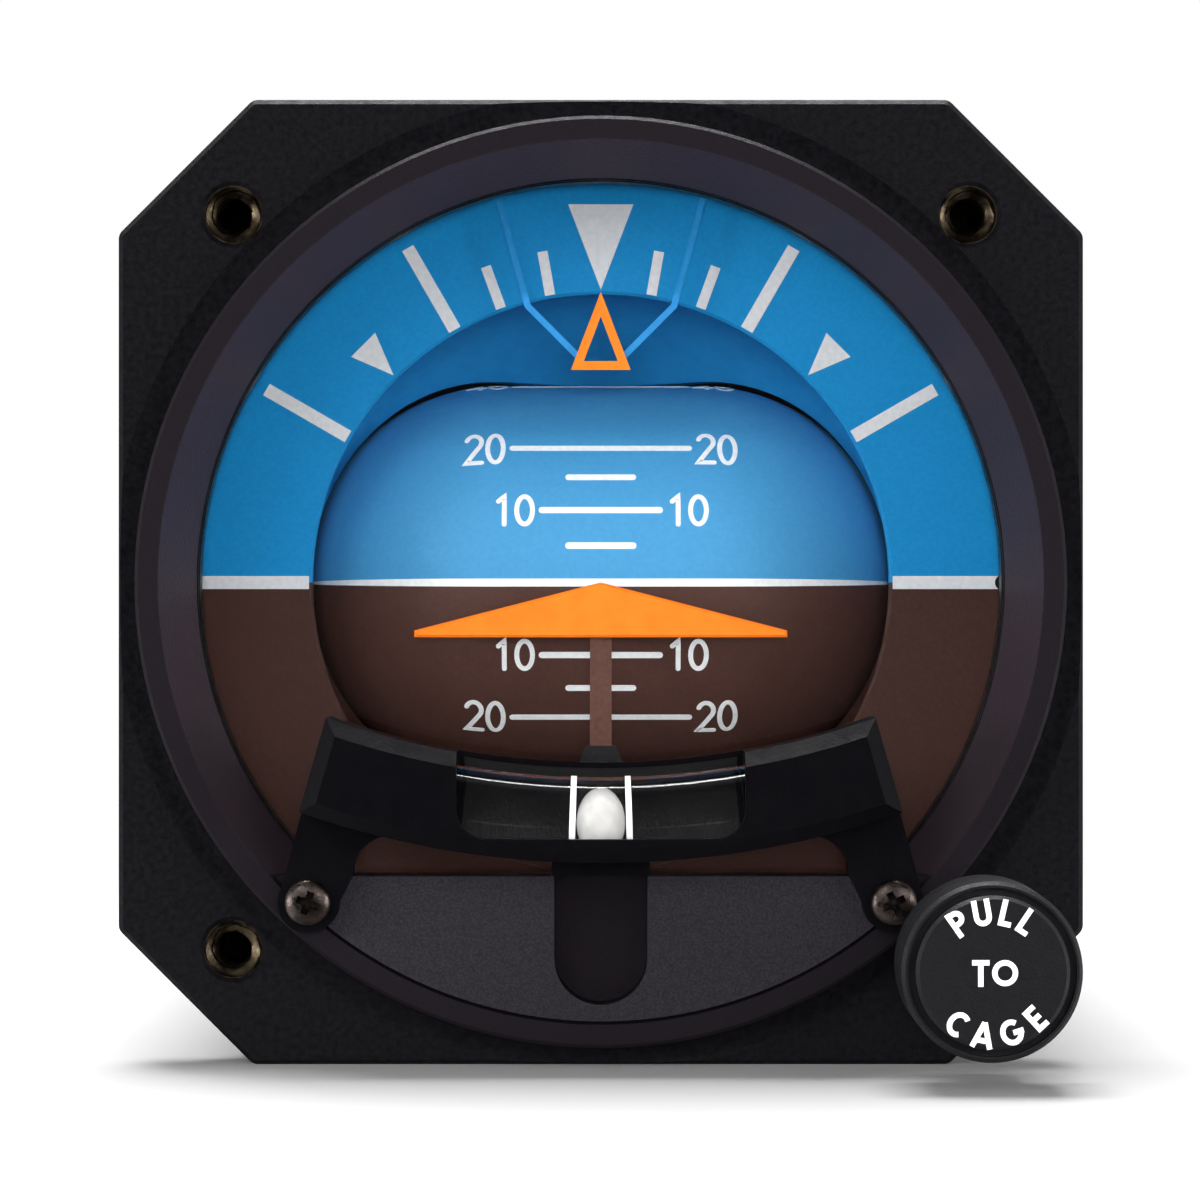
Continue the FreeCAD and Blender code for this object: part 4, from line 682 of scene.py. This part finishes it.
def makeIndexLines(look):
    # two lines painted round the front half of the tube, on either side of the ball's place
    bm = bmesh.new()
    inner, outer = look["tubeR"] - sunk, look["tubeR"] + look["indexLift"]
    half = math.degrees(look["indexWidth"] / 2 / look["pathR"])
    for side in (-1, 1):
        middle = math.degrees(side * look["indexX"] / look["pathR"])
        left, right = middle - half, middle + half
        corners = [(left, inner), (left, outer), (right, outer), (right, inner)]
        rings = []
        for k in range(look["indexSteps"] + 1):
            around = math.pi + math.pi * k / look["indexSteps"]
            rings.append([bm.verts.new(tubePoint(look, degrees, radius, around))
                          for degrees, radius in corners])
        skin(bm, rings)
    finishPiece(bm, "indexLines", "case", drumInk)


print("inclinometer")
makeTube(slipTube)
makeIndexLines(slipTube)


def islands(nodeName):
    # the separate solids of a node, each as a list of its corners
    sameSpot = 1e-6
    bm = bmesh.new()
    bm.from_mesh(nodes[nodeName].data)
    bmesh.ops.remove_doubles(bm, verts=bm.verts, dist=sameSpot)
    left, found = set(bm.verts), []
    for start in list(bm.verts):
        if start not in left:
            continue
        group, edge = [], [start]
        left.discard(start)
        while edge:
            vert = edge.pop()
            group.append(vert.co.copy())
            for link in vert.link_edges:
                other = link.other_vert(vert)
                if other in left:
                    left.discard(other)
                    edge.append(other)
        found.append(group)
    bm.free()
    return found


def middleOf(points):
    low = Vector([min(p[i] for p in points) for i in range(3)])
    high = Vector([max(p[i] for p in points) for i in range(3)])
    return (low + high) / 2


screwLook = {
    "sides": 40,
    "domeSteps": 8,
    "domeDegrees": 82,
    "domeShare": 0.62,  # of the head's height
    "rimShare": 0.66,
    "tipBevel": 0.2,
    "armWidth": 0.38,  # of the head's radius
    "armLength": 1.2,
    "recessDepth": 0.85,  # of the head's height
    "taper": 0.6,
    "over": 0.5,  # how far the tool mark starts over the head
    "near": 0.02,  # corners within this of an end belong to it
    "turns": (20, 64, -15, 38, 80, 7, 51, -33),
    # each node's piece and the way its shanks point; None is towards the instrument's axis
    "nodes": {"bracket_screws": ("bracketScrews", (0, 1, 0)), "case_screws": ("caseScrews", None),
              "rear_screws": ("rearScrews", (0, -1, 0))},
}


def latheFrom(profile, sides):
    # solid of revolution about Z, in millimetres, from (radius, height) pairs that start and end on the axis
    bm = bmesh.new()
    rings = []
    for radius, height in profile:
        if radius == 0:
            rings.append([bm.verts.new((0.0, 0.0, height))])
            continue
        angles = [2 * math.pi * k / sides for k in range(sides)]
        rings.append([bm.verts.new((radius * math.cos(a), radius * math.sin(a), height)) for a in angles])
    for near, far in zip(rings, rings[1:]):
        for k in range(sides):
            j = (k + 1) % sides
            quad = [near[k % len(near)], near[j % len(near)], far[j % len(far)], far[k % len(far)]]
            bm.faces.new(list(dict.fromkeys(quad)))
    bmesh.ops.recalc_face_normals(bm, faces=bm.faces)
    return bm


def crossCutter(look, headR, headHeight, top):
    # two tapered bars that cross: the tool mark of a cross-recessed screw
    bm = bmesh.new()
    for turned in (False, True):
        rings = []
        bottom = top + headHeight * look["recessDepth"]
        for height, share in ((top - look["over"], 1.0), (bottom, look["taper"])):
            halfX, halfY = headR * look["armLength"] / 2 * share, headR * look["armWidth"] / 2 * share
            if turned:
                halfX, halfY = halfY, halfX
            rings.append([bm.verts.new((x * halfX, y * halfY, height)) for x, y in
                          ((-1, -1), (1, -1), (1, 1), (-1, 1))])
        skin(bm, rings)
    bmesh.ops.recalc_face_normals(bm, faces=bm.faces)
    return bm


def makeScrew(look, points, inward, turnDeg):
    # a domed cross-recessed screw where this solid stands; inward points along its shank
    middle = middleOf(points)
    along = [(p - middle).dot(inward) / mm for p in points]
    away = [((p - middle) - inward * (p - middle).dot(inward)).length / mm for p in points]
    headR, top, tip = max(away), min(along), max(along)
    seat = max(a for a, r in zip(along, away) if r > headR - look["near"])
    shankR = max(r for a, r in zip(along, away) if a > tip - look["near"])
    height = seat - top
    profile = [(0.0, top)]
    for k in range(1, look["domeSteps"] + 1):
        angle = math.radians(look["domeDegrees"]) * k / look["domeSteps"]
        profile.append((headR * math.sin(angle), top + height * look["domeShare"] * (1 - math.cos(angle))))
    bevel = look["tipBevel"]
    profile += [(headR, top + height * look["rimShare"]), (headR, seat), (shankR, seat),
                (shankR, tip - bevel), (shankR - bevel, tip), (0.0, tip)]
    shapes = []
    for bm in (latheFrom(profile, look["sides"]), crossCutter(look, headR, height, top)):
        mesh = bpy.data.meshes.new("screwWork")
        bm.to_mesh(mesh)
        bm.free()
        shapes.append(bpy.data.objects.new("screwWork", mesh))
        bpy.context.scene.collection.objects.link(shapes[-1])
    head, cutter = shapes
    cut = head.modifiers.new("recess", "BOOLEAN")
    cut.operation = "DIFFERENCE"
    cut.solver = "EXACT"
    cut.use_self = True
    cut.object = cutter
    done = bpy.data.meshes.new_from_object(head.evaluated_get(bpy.context.evaluated_depsgraph_get()))
    for shape in shapes:
        bpy.data.objects.remove(shape)
    turn = inward.to_track_quat("Z", "Y").to_matrix() @ Matrix.Rotation(math.radians(turnDeg), 3, "Z")
    done.transform(Matrix.Translation(middle) @ turn.to_4x4() @ Matrix.Scale(mm, 4))
    return done


def makeScrews(look):
    for nodeName, (pieceName, way) in look["nodes"].items():
        bm = bmesh.new()
        for i, points in enumerate(islands(nodeName)):
            middle = middleOf(points)
            inward = Vector(way) if way else -Vector((middle.x, 0, middle.z)).normalized()
            bm.from_mesh(makeScrew(look, points, inward, look["turns"][i % len(look["turns"])]))
        piece = finishPiece(bm, pieceName, "case", finishes["screw_steel"])
        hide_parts(nodeName)


threadLook = {
    "pitch": 0.794,  # 32 to the inch
    "depth": 0.33,
    "sides": 48,
    "rowsPerPitch": 8,
    "edgeBevel": 0.1,
    "runIn": 0.2,  # where the thread starts behind the insert's end
    "mouth": 0.3,  # how far its mouth is opened out
    "leastWall": 0.12,
    "near": 0.02,  # corners within this of an edge belong to it
    "axisClear": 0.5,  # corners nearer the axis belong to the bore's end, not its wall
}


def threadRadius(look, y, angle, boreR, bodyR, mouthEnd):
    # the threaded bore's radius at this depth and angle
    wave = (y / look["pitch"] - angle / (2 * math.pi)) % 1.0
    flank = 2 * abs(wave - 0.5)
    return min(boreR + look["depth"] * flank + max(0.0, mouthEnd - y), bodyR - look["leastWall"])


def makeInserts(look):
    # the same inserts as the solids, with the thread cut in their bores
    bm = bmesh.new()
    angles = [2 * math.pi * k / look["sides"] for k in range(look["sides"])]
    for points in islands("panel_inserts"):
        middle = middleOf(points)
        near, far = min(p.y for p in points) / mm, max(p.y for p in points) / mm
        away = [(math.hypot(p.x - middle.x, p.z - middle.z) / mm, p.y / mm) for p in points]
        headR = max(r for r, y in away)
        bodyR = max(r for r, y in away if y < near + look["near"])
        boreR = min(r for r, y in away if r > look["axisClear"])
        boreEnd = max(y for r, y in away if r < boreR + look["near"] and y < far - look["near"])
        boreStart = min(y for r, y in away if r < boreR + look["near"])
        headBack = min(y for r, y in away if r > headR - look["near"])
        outside = [(headR, far), (headR, headBack), (bodyR, headBack), (bodyR, near),
                   (bodyR - look["edgeBevel"], near)]
        rows = [(y, [radius] * look["sides"]) for radius, y in outside]
        start, mouthEnd = near + look["runIn"], boreStart + look["mouth"]
        count = int((boreEnd - boreStart) / look["pitch"] * look["rowsPerPitch"])
        for i in range(count + 1):
            y = start + (boreEnd - start) * i / count
            rows.append((y, [threadRadius(look, y, a, boreR, bodyR, mouthEnd) for a in angles]))
        skin(bm, [[bm.verts.new((middle.x + r * mm * math.cos(a), y * mm, middle.z + r * mm * math.sin(a)))
                   for r, a in zip(radii, angles)] for y, radii in rows])
    piece = finishPiece(bm, "threadedInserts", "case", finishes["brass_insert"])
    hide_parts("panel_inserts")


springLook = {
    "wireR": 0.3,
    "turns": 7,
    "facets": 28,
    "sides": 10,
    "travel": 8.0,  # how far the knob pulls out
    "spare": 0.25,
}


def makeSpring(look):
    # round-wire compression spring round the caging rod
    low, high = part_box("cage_spring")
    middle = (low + high) / 2
    wireR = look["wireR"]
    coilR = (high.x - low.x) / 2 / mm - wireR
    startY, endY = low.y / mm + wireR, high.y / mm - wireR
    bm = bmesh.new()
    rings = []
    steps = look["turns"] * look["facets"]
    for i in range(steps + 1):
        angle = 2 * math.pi * i / look["facets"]
        ring = []
        for k in range(look["sides"]):
            around = 2 * math.pi * k / look["sides"]
            radius = coilR + wireR * math.cos(around)
            y = startY + (endY - startY) * i / steps + wireR * math.sin(around)
            ring.append(bm.verts.new((middle.x + radius * math.cos(angle) * mm, y * mm,
                                      middle.z + radius * math.sin(angle) * mm)))
        rings.append(ring)
    skin(bm, rings)
    piece = finishPiece(bm, "cageSpring", "case", finishes["bright_steel"])
    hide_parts("cage_spring")
    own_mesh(piece)


print("screws, inserts and spring")
makeScrews(screwLook)
makeInserts(threadLook)
makeSpring(springLook)


floorLook = {
    "half": 3.0,
    "colour": "#b2b2b2",
    "glow": 0.02,
    "front": -0.03,  # ahead of this, glossy faces look past the floor into the dark room
    "fadeFrom": 0.06,  # the paper starts to run into the white backdrop here
    "fadeTo": 0.18,
    "depthShare": 0.55,  # it runs out later in depth than sideways
}


def makeFloor(look):
    floorZ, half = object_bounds()[0].z, look["half"]
    mesh = bpy.data.meshes.new("floor")
    corners = [(x * half, y * half, floorZ) for x, y in ((-1, -1), (1, -1), (1, 1), (-1, 1))]
    mesh.from_pydata(corners, [], [(0, 1, 2, 3)])
    # matt paper sweep: takes a soft shadow and shows no highlight
    material, tree, shader, place = startFinish("paperSweep", look["colour"], 0.9, gloss=0.0)
    path = addNode(tree, "ShaderNodeLightPath")
    bounced = addNode(tree, "ShaderNodeMath", operation="MAXIMUM",
                      links={0: path.outputs["Is Glossy Ray"], 1: path.outputs["Is Transmission Ray"]})
    seen = addNode(tree, "ShaderNodeMath", operation="MAXIMUM",
                   links={0: path.outputs["Is Camera Ray"], 1: bounced.outputs[0]})
    glow = addNode(tree, "ShaderNodeMath", {1: look["glow"]}, {0: seen.outputs[0]}, operation="MULTIPLY")
    shader.inputs["Emission Color"].default_value = hexColour(white)
    tree.links.new(glow.outputs[0], shader.inputs["Emission Strength"])
    flat = addNode(tree, "ShaderNodeVectorMath", {1: (1.0, look["depthShare"], 0.0)}, {0: place},
                   operation="MULTIPLY")
    far = addNode(tree, "ShaderNodeVectorMath", links={0: flat.outputs[0]}, operation="LENGTH")
    faded = addNode(tree, "ShaderNodeMapRange", {"From Min": look["fadeFrom"], "From Max": look["fadeTo"]},
                    {"Value": far.outputs["Value"]}, interpolation_type="SMOOTHSTEP")
    fadedSeen = addNode(tree, "ShaderNodeMath", links={0: faded.outputs[0], 1: seen.outputs[0]},
                        operation="MULTIPLY")
    backdrop = addNode(tree, "ShaderNodeEmission", {"Color": hexColour(white)})
    sweep = addNode(tree, "ShaderNodeMixShader",
                    links={0: fadedSeen.outputs[0], 1: shader.outputs[0], 2: backdrop.outputs[0]})
    depth = addNode(tree, "ShaderNodeSeparateXYZ", links={0: place}).outputs[1]
    ahead = addNode(tree, "ShaderNodeMath", {1: look["front"]}, {0: depth}, operation="LESS_THAN")
    unseen = addNode(tree, "ShaderNodeMath", links={0: ahead.outputs[0], 1: bounced.outputs[0]},
                     operation="MULTIPLY")
    nothing = addNode(tree, "ShaderNodeBsdfTransparent")
    paper = addNode(tree, "ShaderNodeMixShader",
                    links={0: unseen.outputs[0], 1: sweep.outputs[0], 2: nothing.outputs[0]})
    replaceSurface(tree, paper.outputs[0])
    mesh.materials.append(material)
    floor = bpy.data.objects.new("floor", mesh)
    bpy.context.scene.collection.objects.link(floor)
    floor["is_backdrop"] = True


roomLook = {
    "light": 0.36,
    "dark": 0.03,  # what glossy faces see behind the camera
    "darkTo": -0.35,  # the dark ends at this slope backwards, and the white starts at the next one
    "whiteFrom": 0.25,
}


def makeWorld(look):
    # white all round for what is seen directly; behind the camera the room is dark to glossy surfaces
    world = bpy.data.worlds.new("studio")
    world.use_nodes = True
    tree = world.node_tree
    tree.nodes.clear()
    path = addNode(tree, "ShaderNodeLightPath")
    direction = addNode(tree, "ShaderNodeTexCoord").outputs["Generated"]
    depth = addNode(tree, "ShaderNodeSeparateXYZ", links={0: direction}).outputs[1]
    behind = addNode(tree, "ShaderNodeMapRange",
                     {"From Min": look["darkTo"], "From Max": look["whiteFrom"], "To Min": look["dark"],
                      "To Max": 1.0}, {"Value": depth})
    bounced = addNode(tree, "ShaderNodeMath", operation="MAXIMUM",
                      links={0: path.outputs["Is Glossy Ray"], 1: path.outputs["Is Transmission Ray"]})
    room = addNode(tree, "ShaderNodeMix", {2: look["light"]}, {0: bounced.outputs[0], 3: behind.outputs[0]},
                   data_type="FLOAT")
    strength = addNode(tree, "ShaderNodeMix", {3: 1.0},
                       {0: path.outputs["Is Camera Ray"], 2: room.outputs[0]}, data_type="FLOAT")
    background = addNode(tree, "ShaderNodeBackground", {"Color": hexColour(white)},
                         {"Strength": strength.outputs[0]})
    addNode(tree, "ShaderNodeOutputWorld", links={"Surface": background.outputs[0]})
    bpy.context.scene.world = world


cameraLook = {
    "place": (-0.00007, -0.4, -0.00154),
    "lens": 140.3,
    "sensor": 36.0,
    "nearest": 0.01,
    "farthest": 20.0,
}


def makeCamera(look):
    data = bpy.data.cameras.new("camera")
    data.lens = look["lens"]
    data.sensor_width = look["sensor"]
    data.clip_start = look["nearest"]
    data.clip_end = look["farthest"]
    camera = bpy.data.objects.new("camera", data)
    camera.location = look["place"]
    camera.rotation_euler = (math.radians(90), 0.0, 0.0)
    bpy.context.scene.collection.objects.link(camera)
    bpy.context.scene.camera = camera


lamps = {
    "key": {"place": (-0.4, -0.8, 0.42), "size": 0.4, "watts": 2.2},
    "fill": {"place": (0.42, -0.8, 0.3), "size": 0.4, "watts": 1.7},
    "top": {"place": (-0.06, 0.27, 0.8), "size": 0.6, "watts": 24.0},
    "leftStrip": {"place": (-0.55, -0.3, 0.0), "size": 0.2, "watts": 2.0},
    "rightStrip": {"place": (0.55, -0.3, 0.0), "size": 0.2, "watts": 2.0},
    # by the camera, where it would stand as a bright patch in the front glass
    "front": {"place": (0.0, -0.75, 0.04), "size": 0.14, "watts": 3.5, "mirrored": False},
}


def addLamp(name, look):
    light = bpy.data.lights.new(name, "AREA")
    light.shape = "SQUARE"
    light.size = look["size"]
    light.energy = look["watts"]
    holder = bpy.data.objects.new(name, light)
    holder.location = look["place"]
    holder.rotation_euler = (-Vector(look["place"])).to_track_quat("-Z", "Y").to_euler()
    holder.visible_glossy = holder.visible_transmission = look.get("mirrored", True)
    bpy.context.scene.collection.objects.link(holder)


print("studio")
makeFloor(floorLook)
makeWorld(roomLook)
makeCamera(cameraLook)
for lampName, lampLook in lamps.items():
    addLamp(lampName, lampLook)
bpy.context.scene.view_settings.view_transform = "Standard"
